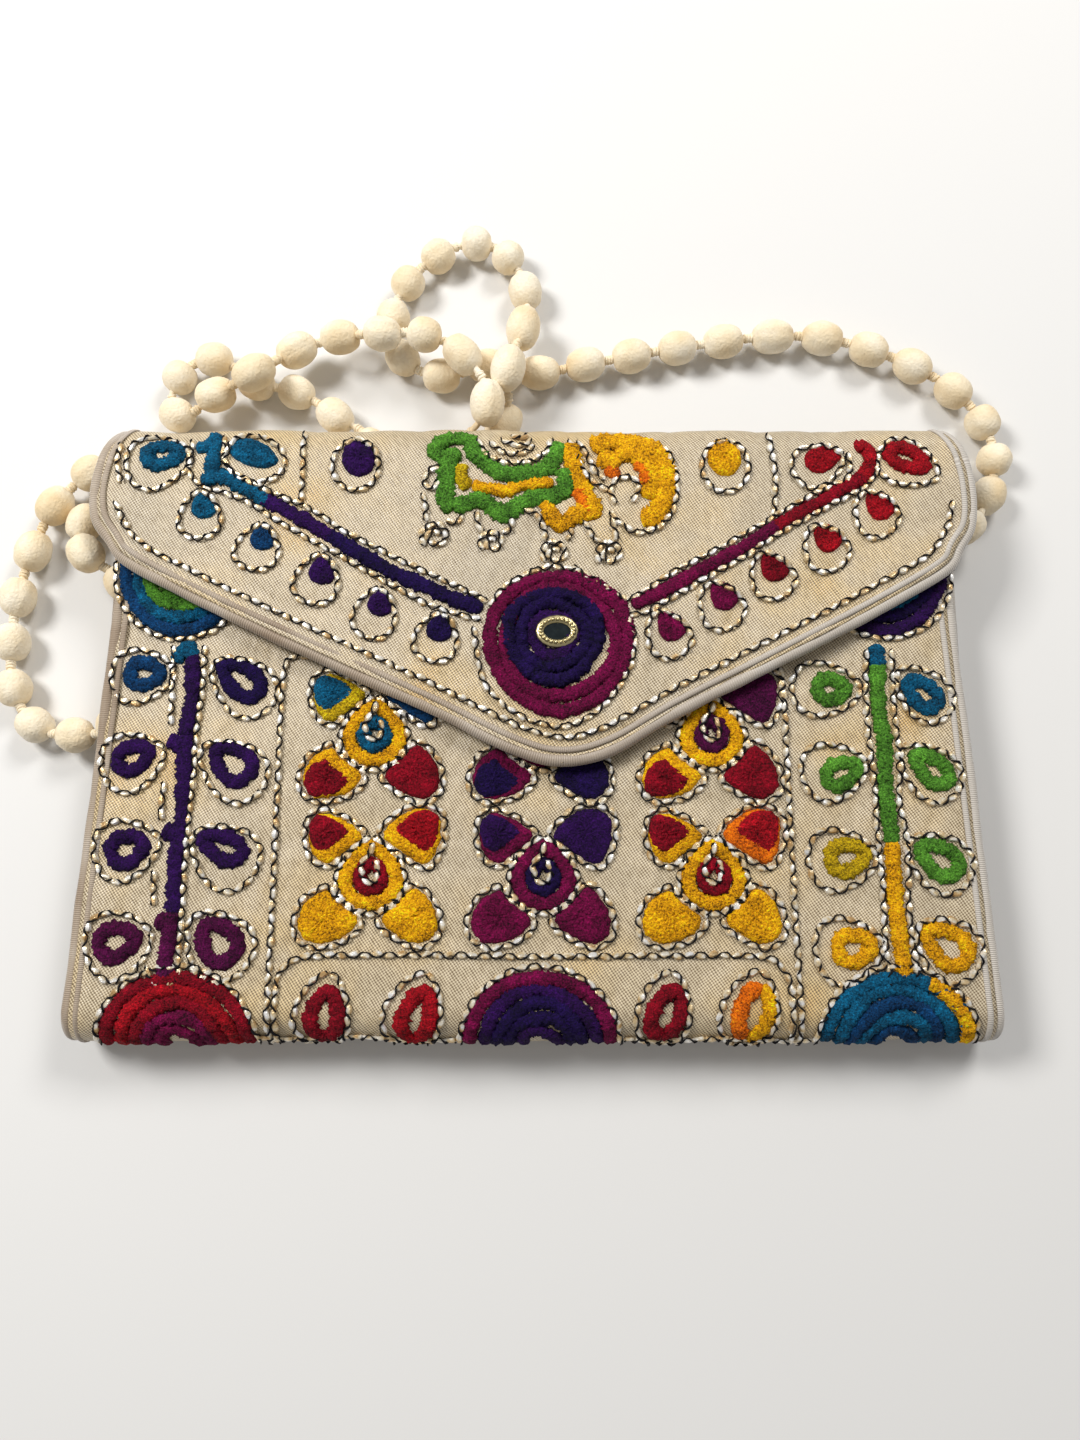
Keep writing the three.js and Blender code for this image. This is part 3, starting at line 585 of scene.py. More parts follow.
CLOTH_EDGE = flap_outline(CLOTH_INSET)
EDGE_TIP = min(range(len(CLOTH_EDGE)), key=lambda i: CLOTH_EDGE[i].y)


def edge_x(edge, y):
    """Where one side of the flap's edge stands at a place on Y."""
    for upper, lower in zip(edge, edge[1:]):
        if upper.y >= y >= lower.y:
            span = upper.y - lower.y
            return upper.lerp(lower, (upper.y - y) / span if span else 0).x
    return edge[0].x if y > edge[0].y else edge[-1].x


def cloth_sides(run):
    """The cloth's left and right edges at a run."""
    (y, z), _ = profile_place(run)
    if run > RUN_TURNED:
        return edge_x(CLOTH_EDGE[:EDGE_TIP + 1], y), edge_x(CLOTH_EDGE[EDGE_TIP:][::-1], y)
    half = side_half(run, y) - CLOTH_INSET
    return -half, half


# Pieces

def new_shape():
    shape = bmesh.new()
    shape.loops.layers.uv.new("cloth")
    return shape


def woven(shape, columns, rows, place, lengths=(1, 1), material=0, closing=1e-4, smooth=True):
    """A grid of faces whose points go to place(across, along), both from 0 to 1."""
    grid = bmesh.ops.create_grid(shape, x_segments=columns, y_segments=rows, size=1, calc_uvs=False)
    flat = shape.loops.layers.uv.verify()
    faces = {f for vert in grid["verts"] for f in vert.link_faces}
    for f in faces:
        f.material_index = material
        f.smooth = smooth
        for loop in f.loops:
            share = loop.vert.co
            loop[flat].uv = ((share.x + 1) / 2 * lengths[0], (share.y + 1) / 2 * lengths[1])
    for vert in grid["verts"]:
        vert.co = place((vert.co.x + 1) / 2, (vert.co.y + 1) / 2)
    if closing:
        bmesh.ops.remove_doubles(shape, verts=grid["verts"], dist=closing)


def ring_point(ring, across):
    """A point of a ring, given as (centre, side, up, half width, height above, height below)."""
    centre, side, up, half, above, below = ring
    angle = 2 * math.pi * across
    rise = math.sin(angle)
    return centre + side * (math.cos(angle) * half) + up * (rise * (above if rise > 0 else below))


def tube(shape, rings, around, smooth=True):
    """A tube over rings."""
    count = len(rings) - 1
    length = sum((second[0] - first[0]).length for first, second in zip(rings, rings[1:]))
    girth = 2 * math.pi * rings[count // 2][3]

    def place(across, share):
        return ring_point(rings[round(share * count)], across)

    woven(shape, around, count, place, (girth * MM, length * MM), smooth=smooth)


def frames(seats):
    """The point, the sideways and the upward direction at each (point, up) of a line over a surface."""
    result = []
    for i, (point, up) in enumerate(seats):
        step = seats[min(i + 1, len(seats) - 1)][0] - seats[max(i - 1, 0)][0]
        side = step.cross(up).normalized()
        result.append((point, side, side.cross(step).normalized()))
    return result


def finish_piece(name, shape, materials, nodes=()):
    """Scales a shape to metres and makes it a piece of the bag."""
    bmesh.ops.recalc_face_normals(shape, faces=shape.faces)
    bmesh.ops.scale(shape, vec=(MM, MM, MM), verts=shape.verts)
    mesh = bpy.data.meshes.new(name)
    shape.to_mesh(mesh)
    shape.free()
    piece = bpy.data.objects.new(name, mesh)
    bpy.context.scene.collection.objects.link(piece)
    for material in materials:
        mesh.materials.append(material)
    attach(piece, "root")
    if nodes:
        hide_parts(*nodes)
    return piece


# The strap: thread, beads and knots

def strand_line(stops):
    """A line through the beads that turns as roundly as its spans allow, and the middle of each span."""
    ring = [stops[0] * 2 - stops[1], *stops, stops[-1] * 2 - stops[-2]]
    ways = [
        ((here - before).normalized() + (after - here).normalized()).normalized()
        for before, here, after in zip(ring, ring[1:], ring[2:])
    ]
    fine, middles = [], []
    for here, after, way, next_way in zip(stops, stops[1:], ways, ways[1:]):
        reach = (after - here).length * SPAN_FULLNESS
        for step in range(SPAN_STEPS):
            t = step / SPAN_STEPS
            fine.append(
                here * (1 - 3 * t ** 2 + 2 * t ** 3)
                + after * (3 * t ** 2 - 2 * t ** 3)
                + way * reach * (t - 2 * t ** 2 + t ** 3)
                + next_way * reach * (t ** 3 - t ** 2)
            )
        half_way = len(fine) - SPAN_STEPS // 2
        middles.append((fine[half_way], (fine[half_way + 1] - fine[half_way - 1]).normalized()))
    fine.append(stops[-1])
    return even(fine, THREAD_SPACING), middles


def strap():
    ends = [Vector((sign * STRAP_END_X, STRAP_END_Y, STRAP_END_Z)) for sign in (1, -1)]
    beads = [Vector(place) for place in STRAP_BEADS]
    stops = [ends[0], *beads, ends[1]]
    line, middles = strand_line(stops)
    shape = new_shape()
    side = UPWARDS
    radius = THREAD_DIAMETER / 2
    rings = []
    for i, point in enumerate(line):
        step = (line[min(i + 1, len(line) - 1)] - line[max(i - 1, 0)]).normalized()
        side = (side - step * side.dot(step)).normalized()
        rings.append((point, side, step.cross(side), radius, radius, radius))
    tube(shape, rings, 10)
    thread = finish_piece("strap_thread", shape, [BEAD_CLOTH], ["bead_strap"])

    covers = new_shape()
    knots = new_shape()
    for i, (before, bead, after) in enumerate(zip(stops, beads, stops[2:])):
        direction = (after - before).to_2d().to_3d().normalized()
        spacing = ((bead - before).length + (bead - after).length) / 2
        half = min(spacing - THREAD_SHOWING, BEAD_LONGEST) / 2
        add_bead(covers, bead, direction, half, i)
    for i, (middle, direction) in enumerate(middles):
        add_knot(knots, middle, direction, i)
    cover = finish_piece("strap_beads", covers, [BEAD_CLOTH])
    knot = finish_piece("strap_thread_knots", knots, [BEAD_CLOTH])
    ends_shape = new_shape()
    for i, end in enumerate(ends):
        add_end_knot(ends_shape, end, i)
    end_knots = finish_piece(
        "strap_end_knots", ends_shape, [BEAD_CLOTH], ["strap_knot_left", "strap_knot_right"]
    )
    length = sum((second - first).length for first, second in zip(line, line[1:]))
    [point * MM for point in line]


def add_bead(shape, centre, direction, half, number):
    """One cloth-covered bead, gathered at both ends, with a seam along it."""
    side = direction.cross(UPWARDS).normalized()
    up = side.cross(direction)
    seam = noise.noise(Vector((number * 3.7, 0.3, 0))) * 2 * math.pi

    def place(across, share):
        angle = 2 * math.pi * across
        swing = math.pi * (share - 0.5)
        lie = math.sin(swing)
        reach = abs(math.cos(swing)) ** 0.8
        radius = BEAD_DIAMETER / 2 * reach
        way = side * math.cos(angle) + up * math.sin(angle)
        point = direction * (lie * half) + way * radius
        lumps = noise.noise(point / 2.6 + Vector((number * 5.1, 0, 0)))
        gathers = math.sin(angle * 9 + number) * (abs(lie) ** 4) * 0.25
        fold = -0.35 * math.exp(-(((angle - seam + math.pi) % (2 * math.pi) - math.pi) / 0.12) ** 2)
        shrink = 0.965 + 0.04 * lumps
        return centre + point * shrink + way * ((gathers + fold) * reach)

    woven(shape, columns=28, rows=16, place=place)


def add_turn(shape, centre, axis, first, reach, thickness, around, count):
    """One turn of thread round an axis, starting at the direction first."""
    second = axis.cross(first)

    def place(across, share):
        way, inner = 2 * math.pi * share, 2 * math.pi * across
        out = first * math.cos(way) + second * math.sin(way)
        return centre + out * (reach + thickness * math.cos(inner)) + axis * (thickness * math.sin(inner))

    woven(shape, around, count, place)


def add_knot(shape, centre, direction, number):
    """The thread's knot between two beads: a few turns of thread."""
    side = direction.cross(UPWARDS).normalized()
    up = side.cross(direction)
    for turn in (-1, 0, 1):
        lean = noise.noise(Vector((number * 2.3, (turn + 1) * 4.1, 0.5)))
        tilt = (direction + side * lean * 0.7 + up * (0.3 - lean * 0.4)).normalized()
        first = tilt.cross(up).normalized()
        add_turn(shape, centre + direction * turn * 0.75, tilt, first, 0.95, 0.42, 6, 10)


def add_end_knot(shape, centre, number):
    """A wound knot that holds the strap in the gusset's fold."""
    for turn in range(4):
        angle = turn * 0.8 + number
        axis = Vector((math.cos(angle), math.sin(angle) * 0.6, 0.5 * math.sin(turn * 2.1))).normalized()
        first = axis.cross(Vector((0.2, 0.1, 1))).normalized()
        add_turn(shape, centre, axis, first, 1.45, 0.8, 8, 14)


strap()


# The cloth

def thicken(piece, thickness, offset):
    solidify = piece.modifiers.new("thickness", "SOLIDIFY")
    solidify.thickness = thickness * MM
    solidify.offset = offset


def outer_cloth():
    shape = new_shape()

    def place(across, share):
        run = RUN_END * share
        left, right = cloth_sides(run)
        return face(left + (right - left) * across, run)[0]

    cloth = (BAG_WIDTH * MM, RUN_END * MM)
    woven(shape, columns=120, rows=230, place=place, lengths=cloth, closing=1e-3)
    flat = shape.loops.layers.uv.verify()
    for f in shape.faces:
        for loop in f.loops:
            loop[flat].uv.x = loop.vert.co.x * MM
    piece = finish_piece("outer_cloth", shape, [SATIN], ["outer_panel"])
    thicken(piece, CLOTH, -1)


def lining_cloth():
    shape = new_shape()

    def place(across, share):
        run = LINING_START + (RUN_END - LINING_SHORTER) * share
        left, right = cloth_sides(run)
        width = right - left - 2 * LINING_INSET
        return face(left + LINING_INSET + width * across, run, LINING_DEPTH)[0]

    cloth = (BAG_WIDTH * MM, RUN_END * MM)
    woven(shape, columns=60, rows=130, place=place, lengths=cloth, closing=1e-3)
    piece = finish_piece("lining_cloth", shape, [COTTON], ["lining"])
    thicken(piece, LINING, -1)


def gusset(name, sign):
    """The side's inward fold, from the front's edge to the web and out to the back's edge."""
    top = BODY_DEPTH - GUSSET_DEPTH
    corner = GUSSET_CORNER
    edge = BAG_WIDTH / 2 - GUSSET_INSET
    section = [Vector((edge, GUSSET_DEPTH)), Vector((GUSSET_WEB_X + corner, GUSSET_DEPTH))]
    section += [
        Vector((GUSSET_WEB_X + corner - corner * math.sin(a), GUSSET_DEPTH + corner - corner * math.cos(a)))
        for a in (math.pi / 2 * k / 6 for k in range(1, 7))
    ]
    section += [Vector((x, BODY_DEPTH - z)) for x, z in reversed(section)]
    section = even(section, 1.2)
    shape = new_shape()

    def place(across, share):
        y = MOUTH_Y + (BOTTOM + GUSSET_DEPTH + 0.1 - MOUTH_Y) * share
        x, z = section[round(across * (len(section) - 1))]
        part = (z - GUSSET_DEPTH) / (top - GUSSET_DEPTH)
        low, high = GUSSET_DEPTH, top
        radius = BODY_DEPTH / 2 - GUSSET_DEPTH
        below = BOTTOM + BODY_DEPTH / 2 - y
        lift = y - (TOP - LIFT_RUN)
        if below > 0:
            reach = math.sqrt(max(0, radius ** 2 - below ** 2))
            low, high = BODY_DEPTH / 2 - reach, BODY_DEPTH / 2 + reach
        if lift > 0:
            low += FOLD_WIDEST_HEIGHT * (1 - math.sqrt(1 - (lift / LIFT_RUN) ** 2))
        fold = 0.5 * noise.noise(Vector((y / 17, z / 9, sign * 3)))
        limit = edge - (BAG_WIDTH / 2 - front_half(y)) * part
        return Vector((sign * (min(x, limit) + fold * (x < limit - 2)), y, low + (high - low) * part))

    woven(shape, columns=len(section) - 1, rows=90, place=place, lengths=(0.045, 0.14), closing=1e-3)
    piece = finish_piece(f"{name}_fold", shape, [SATIN], [name])
    thicken(piece, GUSSET_CLOTH, 0)


outer_cloth()
lining_cloth()
gusset("gusset_left", -1)
gusset("gusset_right", 1)


# Piping and the welt beside it

def edge_route(inset, depth):
    """The way round the bag's edge at some inset, as points and upward directions."""
    def side(sign):
        places = []
        for k in range(EDGE_STEPS + 1):
            run = (RUN_TURNED - 1) * k / EDGE_STEPS
            (y, z), (out_y, out_z) = profile_place(run)
            up = Vector((0, out_y, out_z))
            places.append((Vector((sign * (side_half(run, y) - inset), y, z)) - up * depth, up))
        return places

    over = [
        (Vector((x, y, FLAP_TOP - depth)), UPWARDS)
        for x, y in flap_outline(inset)
        if y < TOP - FLAP_TURN_RUN - 0.5
    ]
    return side(-1) + over + side(1)[::-1]


def piping():
    shape = new_shape()
    rings = []
    for point, side, up in frames(edge_route(PIPING_RADIUS, PIPING_RADIUS)):
        radius = PIPING_RADIUS * (0.94 + 0.06 * noise.noise(point / 7))
        swerve = side * 0.35 * noise.noise(point / 13 + Vector((0, 5, 0)))
        rings.append((point + swerve, side, up, radius, radius, radius))
    tube(shape, rings, 14)
    finish_piece("piping_cord", shape, [PIPING], ["piping"])


def welt():
    """The narrow strip of the piping's cloth that is sewn down beside it."""
    shape = new_shape()
    rings = []
    for point, side, up in frames(edge_route(WELT_INSET, -0.05)):
        height = 0.32 + 0.12 * noise.noise(point / 5)
        sunk = 0.7 * max(0, 1 - point.z / 2)
        rings.append((point - up * sunk, side, up, WELT_HALF, height, 0.5))
    tube(shape, rings, 8)
    finish_piece("piping_welt", shape, [PIPING])


piping()
welt()


# Embroidery

STITCH = 2.9
STITCH_STEPS = 6
LIFT = 0.35
LIFT_ON_PILE = 1.3
PAD_CLIMB = 0.8
CORD_NECK = 0.26
CORD_SWELL = 0.44
CORD_SLANT = 0.62
CORD_STRAY = 0.4
THREAD_SWING = 0.68
THREAD_RISE = 0.84
ROW_STEP = 0.45
ROW_WIDTH = 3.7
ROW_HEIGHT = 1.2
RIB_SPACING = 1.1
PILE_DEPTH = 0.38
RING_INSET = 3.2
PAD_OUTSET = 0.6
STEM_WIDTH = 4
BORDER_INSET = 7.2
BORDER_TOP = 60
LOW_CENTRE_Y = BOTTOM - 1.2
TOP_CENTRE_Y = 39.3
MIRROR = Vector((6, 22, FLAP_TOP))
WIRE_TURNS = 22


class Work:
    """The stitching of one area: couched cords on the cloth, and the thread that holds them."""

    def __init__(self, place):
        self.place = place
        self.pale = new_shape()
        self.dark = new_shape()
        self.lift = LIFT

    def cord(self, points, closed=False, climb=lambda place: 0):
        """A couched cord: pale lobes end to end, and a dark thread crossing between them."""
        count = max(1, len(along(points, STITCH, closed)) - 1)
        fine = along(points, 0.4, closed)
        length = sum((second - first).length for first, second in zip(fine, fine[1:]))
        fine = even(fine, length / (count * STITCH_STEPS))
        pale, dark = [], []
        for i, (point, side, up) in enumerate(frames([self.place(*place) for place in fine])):
            phase = i / (len(fine) - 1) * count
            way = 1 if int(phase) % 2 else -1
            share = phase - int(phase)
            lobe = math.sin(math.pi * share) ** 0.6 if 0 < share < 1 else 0
            half = (CORD_NECK + CORD_SWELL * lobe) * (1 + 0.45 * noise.noise(point / 2.1))
            stray = CORD_STRAY * noise.noise(point / 2.9 + Vector((6, 2, 4)))
            slant = way * lobe * (0.2 + CORD_SLANT * (share - 0.5)) + stray
            lift = self.lift + climb(fine[i])
            centre = point + side * slant + up * (lift + 0.12 * lobe)
            pale.append((centre, side, up, half, half * 0.8, 0.4))
            over = abs(math.cos(math.pi * phase)) ** 2.2
            loose = 1 + 0.5 * noise.noise(point / 2.7 + Vector((3, 8, 1)))
            reach = -way * THREAD_SWING * lobe * loose
            height = lift - 0.1 + THREAD_RISE * over
            width = 0.12 + 0.26 * over
            dark.append((point + side * reach + up * height, side, up, width, width, width))
        taper(pale)
        taper(dark)
        tube(self.pale, pale, 6, smooth=False)
        tube(self.dark, dark, 5)

    def finish(self, name, nodes):
        finish_piece(f"{name}_cord", self.pale, [SILVER_CORD], nodes)
        finish_piece(f"{name}_thread", self.dark, [DARK_THREAD])


def tuft(point):
    """The unevenness of chenille's pile."""
    return PILE_DEPTH * (noise.noise(point * 1.5) + 0.8 * noise.noise(point * 3.3))


def taper(rings):
    """Closes a tube's two ends."""
    for i in (0, -1):
        rings[i] = (*rings[i][:3], 0, 0, 0)


class Motif:
    """The chenille of one motif, in its colours."""

    def __init__(self, place, *colours):
        self.place = place
        self.colours = list(colours)
        self.shape = new_shape()

    def index(self, name):
        if name not in self.colours:
            self.colours.append(name)
        return self.colours.index(name)

    def row(self, name, points, width=ROW_WIDTH, height=ROW_HEIGHT, closed=False):
        """A row of chenille yarn along a line, with its cross ribs and loose pile."""
        rings = []
        run = 0
        for point, side, up in frames([self.place(*place) for place in along(points, ROW_STEP, closed)]):
            run += (point - rings[-1][0]).length if rings else 0
            rib = 0.05 * math.sin(run * 2 * math.pi / RIB_SPACING)
            half = width / 2 * (1 + rib + 0.22 * noise.noise(point / 1.5))
            rise = height * (1 + rib + 0.25 * noise.noise(point / 1.3 + Vector((9, 0, 0))))
            rings.append((point, side, up, half, rise, 0.3))
        if closed:
            rings[-1] = rings[0]
        else:
            self.round_ends(rings)
        self.pile(rings, self.index(name))

    def round_ends(self, rings):
        """Rounds a row's two ends and closes them."""
        reach = min(3, len(rings) // 2)
        for i in range(reach):
            share = math.sqrt(1 - (1 - i / reach) ** 2)
            for k in (i, -1 - i):
                rings[k] = (*rings[k][:3], *(size * share for size in rings[k][3:]))

    def pile(self, rings, material):
        count = len(rings) - 1

        def place(across, share):
            ring = rings[round(share * count)]
            point = ring_point(ring, across)
            return ring[0] + (point - ring[0]) * (1 + tuft(point))

        woven(self.shape, columns=16, rows=count, place=place, material=material)

    def pad(self, name, outline, height=1.3):
        """A filled patch of pile inside an outline, domed towards its middle."""
        edge = along(outline, 0.5, True)
        count = len(edge) - 1
        middle = sum((Vector(p) for p in outline), Vector((0, 0))) / len(outline)

        def place(across, share):
            rim = edge[round(across * count)]
            ragged = 1 + 0.07 * noise.noise(rim.to_3d() * 0.9)
            seat, up = self.place(*middle.lerp(rim, (1 - share) * ragged))
            rise = height * (1 - (1 - share) ** 4) ** 0.5 if share > 0 else -0.2
            return seat + up * (rise * (1 + tuft(seat) + 0.15 * noise.noise(seat * 0.7)))

        woven(self.shape, columns=count, rows=12, place=place, material=self.index(name))

    def finish(self, node):
        materials = [PILES[c] for c in self.colours]
        finish_piece(f"{node}_chenille", self.shape, materials, [node])


front = Work(on_front)
flap = Work(on_flap)


def over_pad(x, y, length, width, turn):
    """How far a cord climbs where it crosses an oval pad, by its place."""
    def climb(place):
        seen = Matrix.Rotation(-math.radians(turn), 2) @ (place - Vector((x, y)))
        reach = math.hypot(seen.x / (length / 2), seen.y / (width / 2))
        return PAD_CLIMB * min(1, max(0, (1.3 - reach) / 0.4))
    return climb


def leaf(motif, work, name, ring, loop, hole=True, point=0.3):
    """A leaf or a drop: a ring or a pad of chenille, lying off-centre in its loop of cord."""
    x, y, length, width, turn = ring
    if hole:
        row = oval(x, y, length - RING_INSET, width - RING_INSET, turn, point=point)
        motif.row(name, row, closed=True)
        work.cord(oval(*loop, point=point), closed=True)
    else:
        motif.pad(name, oval(x, y, length + PAD_OUTSET, width + PAD_OUTSET, turn, point=point))
        work.cord(oval(*loop, point=point), closed=True, climb=over_pad(*ring))


def vine(node, work, hue, leaves, stems, cords, width=STEM_WIDTH):
    """A stem of chenille with its leaves or drops, and the cords that follow it."""
    motif = Motif(work.place, hue)
    for name, ring, loop, *form in leaves:
        leaf(motif, work, name, ring, loop, *form)
    for name, points, *own_width in stems:
        motif.row(name, points, *(own_width or [width]))
    motif.finish(node)
    for points in cords:
        work.cord(points)


def sided(leaves, stem_x):
    """Leaves whose narrow ends point away from their stem."""
    return [(*leaf, True, 0.3 if leaf[1][0] < stem_x else -0.3) for leaf in leaves]


def front_vine_left():
    leaves = [
        ("blue", (-99, 12.5, 11, 9, 0), (-99.5, 12, 16, 13.5, 5)),
        ("violet", (-100.5, -9, 11.5, 9, 25), (-100.5, -10, 16, 14.5, 20)),
        ("violet", (-100.5, -32, 11.5, 10, 20), (-100.5, -32, 16.5, 14.5, 15)),
        ("plum", (-101.5, -54.5, 12, 10, 15), (-101, -55, 16, 16, 20)),
        ("navy", (-74.5, 11, 14.5, 9.5, -38), (-74, 9.5, 18.5, 13.5, -38)),
        ("violet", (-75.5, -10.5, 13.5, 10.5, -38), (-75.5, -12, 18.5, 14, -35)),
        ("violet", (-77, -31.5, 13.5, 8.5, -25), (-76.5, -33.5, 18, 15, -35)),
        ("plum", (-77, -54.5, 13.5, 11, -50), (-77, -55, 18, 15.5, -45)),
    ]
    stems = [
        ("teal", [(-91.6, 15.4), (-88.8, 19.4), (-86.8, 16.4)]),
        ("violet", [(-87, 18), (-86.8, 5.5), (-88, -4)]),
        ("violet", [(-92.2, -4.4), (-90, -5.4), (-87.8, -6.4)]),
        ("violet", [(-87.8, -3), (-87.6, -16), (-87.4, -27)]),
        ("violet", [(-92.4, -27.4), (-90, -28), (-88, -28.6)]),
        ("violet", [(-87.8, -26), (-88.4, -38), (-88.2, -48)]),
        ("plum", [(-92.8, -49.2), (-90.6, -49.8), (-88.6, -50.4)]),
        ("plum", [(-88.4, -47), (-89.5, -58), (-89.2, -63.5)]),
    ]
    cords = [
        [(-92, 20), (-91.8, 8), (-91.6, -1)],
        [(-92.4, -15), (-92.6, -25)],
        [(-93.5, -37), (-93.2, -46)],
        [(-94, -60), (-92.8, -63), (-90.5, -65)],
        [(-84, 20), (-84, 10), (-85, -3), (-85, -12), (-85.6, -24), (-86, -36), (-86, -47),
          (-86.4, -56), (-86.2, -62), (-88.5, -65.5)],
    ]
    vine("vine_left", front, "violet", sided(leaves, -88), stems, cords)


def front_vine_right():
    leaves = [
        ("green", (76, 8.5, 10.5, 8.5, 0), (74.5, 8.5, 17.5, 13.5, 0)),
        ("green", (77.5, -13, 11.5, 8.5, 25), (75.5, -12.5, 16.5, 14, 15)),
        ("olive", (78, -34, 12, 9.5, 15), (76.5, -34.5, 17, 14.5, 5)),
        ("yellow", (78.5, -56, 11.5, 9.5, 15), (77, -56.5, 16.5, 15.5, 10)),
        ("teal", (98.8, 7.5, 12.5, 8.5, -45), (99, 7.5, 16.5, 12, -45)),
        ("green", (100, -12, 13, 8.5, -42), (99.3, -12.5, 17, 12.5, -42)),
        ("green", (100.5, -34.5, 13.5, 9.5, -35), (100.3, -35, 17, 13.5, -35)),
        ("yellow", (101, -55.5, 14, 10.5, -38), (101, -56, 17, 14.5, -38)),
    ]
    stems = [
        ("teal", [(87.6, 20.4), (87.8, 17.5), (88, 14)]),
        ("green", [(88, 15.5), (87.6, 5), (88.8, -6)]),
        ("green", [(88.6, -4.5), (88.3, -18), (89.3, -31)]),
        ("yellow", [(89.2, -29.6), (89, -38), (89.2, -47)]),
        ("yellow", [(89.2, -45.4), (89.6, -54), (90.4, -63.5)]),
    ]
    cords = [
        [(85.2, 19), (84.5, 6), (84.7, -6), (85.5, -16), (85.5, -27), (86, -39), (86, -47),
          (86, -56), (87, -65)],
        [(91.5, 19), (91.5, 2), (92, -8), (91.5, -20), (92.6, -29), (92.5, -39), (92.2, -47),
          (92.6, -56), (93.6, -65)],
    ]
    vine("vine_right", front, "green", sided(leaves, 88), stems, cords)


PETALS = {
    "upper_left": [
        (-2.7, 9.4), (-7.5, 13.4), (-13.2, 14.8), (-15.8, 10.8), (-14.6, 5), (-10.8, 2.6), (-6.4, 5.6),
    ],
    "upper_right": [
        (2.7, 9.6), (6.5, 14), (11.5, 16), (16.5, 14), (16.6, 7.4), (13.2, 2.4), (6.4, 6.2),
    ],
    "lower_left": [
        (-3.2, -11), (-8.5, -6.6), (-11, -4.2), (-16, -7.2), (-17.6, -13), (-14, -16.8), (-6.5, -15.4),
    ],
    "lower_right": [
        (3, -10.6), (7.4, -6.4), (11, -3.6), (15.4, -8), (16.2, -14), (11.8, -17), (5.2, -14),
    ],
}
DROP = [(0, 8.2), (-5.2, 4.4), (-8, -1.5), (-5.6, -7), (0, -9), (5.6, -7), (8, -1.5), (5.2, 4.4)]
HEART_CORD = [(0.4, 7.6), (-0.4, 5), (-2.4, 1.5), (-1.6, -1.6), (1, -2), (2, 0.5), (0.6, 3.2)]


def sized(points, factor):
    """A closed outline, grown or shrunk about its middle."""
    middle = sum(points, Vector((0, 0))) / len(points)
    return [middle + (p - middle) * factor for p in points]


def flower(name, x, y, petals, heart, ring):
    """Four petals round a ringed heart; a petal is one colour, or a fill and its edge's colour."""
    motif = Motif(on_front, *(fill[0] for fill in petals.values()))
    centre = Vector((x, y))

    def moved(points, factor=1):
        return [centre + Vector(p) * factor for p in points]

    for part, (fill, rim) in petals.items():
        petal = moved(PETALS[part])
        motif.pad(rim or fill, sized(petal, 1.03), 1.2 if rim else 1.4)
        if rim:
            outwards = (sum(petal, Vector((0, 0))) / len(petal) - centre).normalized() * 1.5
            motif.pad(fill, [p + outwards for p in sized(petal, 0.82)], 1.7)
        front.cord(sized(petal, 1.17), closed=True)
    motif.row(ring, moved(DROP, 0.8), 3.8, closed=True)
    motif.row(heart, oval(x, y - 0.8, 5.4, 6.4), 3.6, 1.5, closed=True)
    motif.finish(name)
    front.cord(moved(DROP, 1.08), closed=True)
    front.lift = LIFT_ON_PILE
    front.cord(moved(HEART_CORD))
    front.lift = LIFT


def front_flowers():
    dark = ("maroon", None)
    night = ("navy", None)
    gold = ("yellow", None)
    red = ("crimson", None)
    flower("flower_left_top", -40, -2.5, {
        "upper_left": ("teal", "olive"), "upper_right": ("blue", None),
        "lower_left": ("crimson", "yellow"), "lower_right": red,
    }, "teal", "yellow")
    flower("flower_left_bottom", -40, -38, {
        "upper_left": ("crimson", "yellow"), "upper_right": ("red", "yellow"),
        "lower_left": gold, "lower_right": gold,
    }, "crimson", "yellow")
    flower("flower_middle_top", 2.5, -2.5, {
        "upper_left": night, "upper_right": night,
        "lower_left": ("navy", "maroon"), "lower_right": night,
    }, "navy", "maroon")
    flower("flower_middle_bottom", 2.5, -38, {
        "upper_left": ("violet", "maroon"), "upper_right": ("violet", None),
        "lower_left": dark, "lower_right": dark,
    }, "navy", "maroon")
    flower("flower_right_top", 45, -2.5, {
        "upper_left": ("plum", None), "upper_right": ("plum", None),
        "lower_left": ("crimson", "yellow"), "lower_right": ("crimson", None),
    }, "plum", "yellow")
    flower("flower_right_bottom", 44.5, -38, {
        "upper_left": ("crimson", "yellow"), "upper_right": ("red", "orange"),
        "lower_left": gold, "lower_right": gold,
    }, "crimson", "yellow")


def front_drops():
    drops = [
        (-50.5, -72, 14, 9.5, 82, "crimson", "crimson", (-51, -71, 18, 13, 80)),
        (-28, -72, 14.5, 9.5, 70, "red", "red", (-28.8, -71, 18.5, 13.5, 72)),
        (32.5, -71.5, 14.5, 9.5, 68, "crimson", "crimson", (31.8, -70.5, 18, 12.5, 78)),
        (53.5, -71.5, 15, 10, 72, "orange", "yellow", (52.5, -70.5, 18.5, 13.5, 75)),
    ]
    for number, (x, y, length, width, turn, left, right, loop) in enumerate(drops, 1):
        motif = Motif(on_front, left)
        size = (x, y, length - 3, width - 3, turn)
        if left == right:
            motif.row(left, oval(*size, point=0.2), 3.9, closed=True)
        else:
            motif.row(left, oval(*size, -6, 186), 3.9)
            motif.row(right, oval(*size, 174, 366), 3.9)
        motif.finish(f"drop_{number}")
        front.cord(oval(*loop, point=0.25), closed=True)


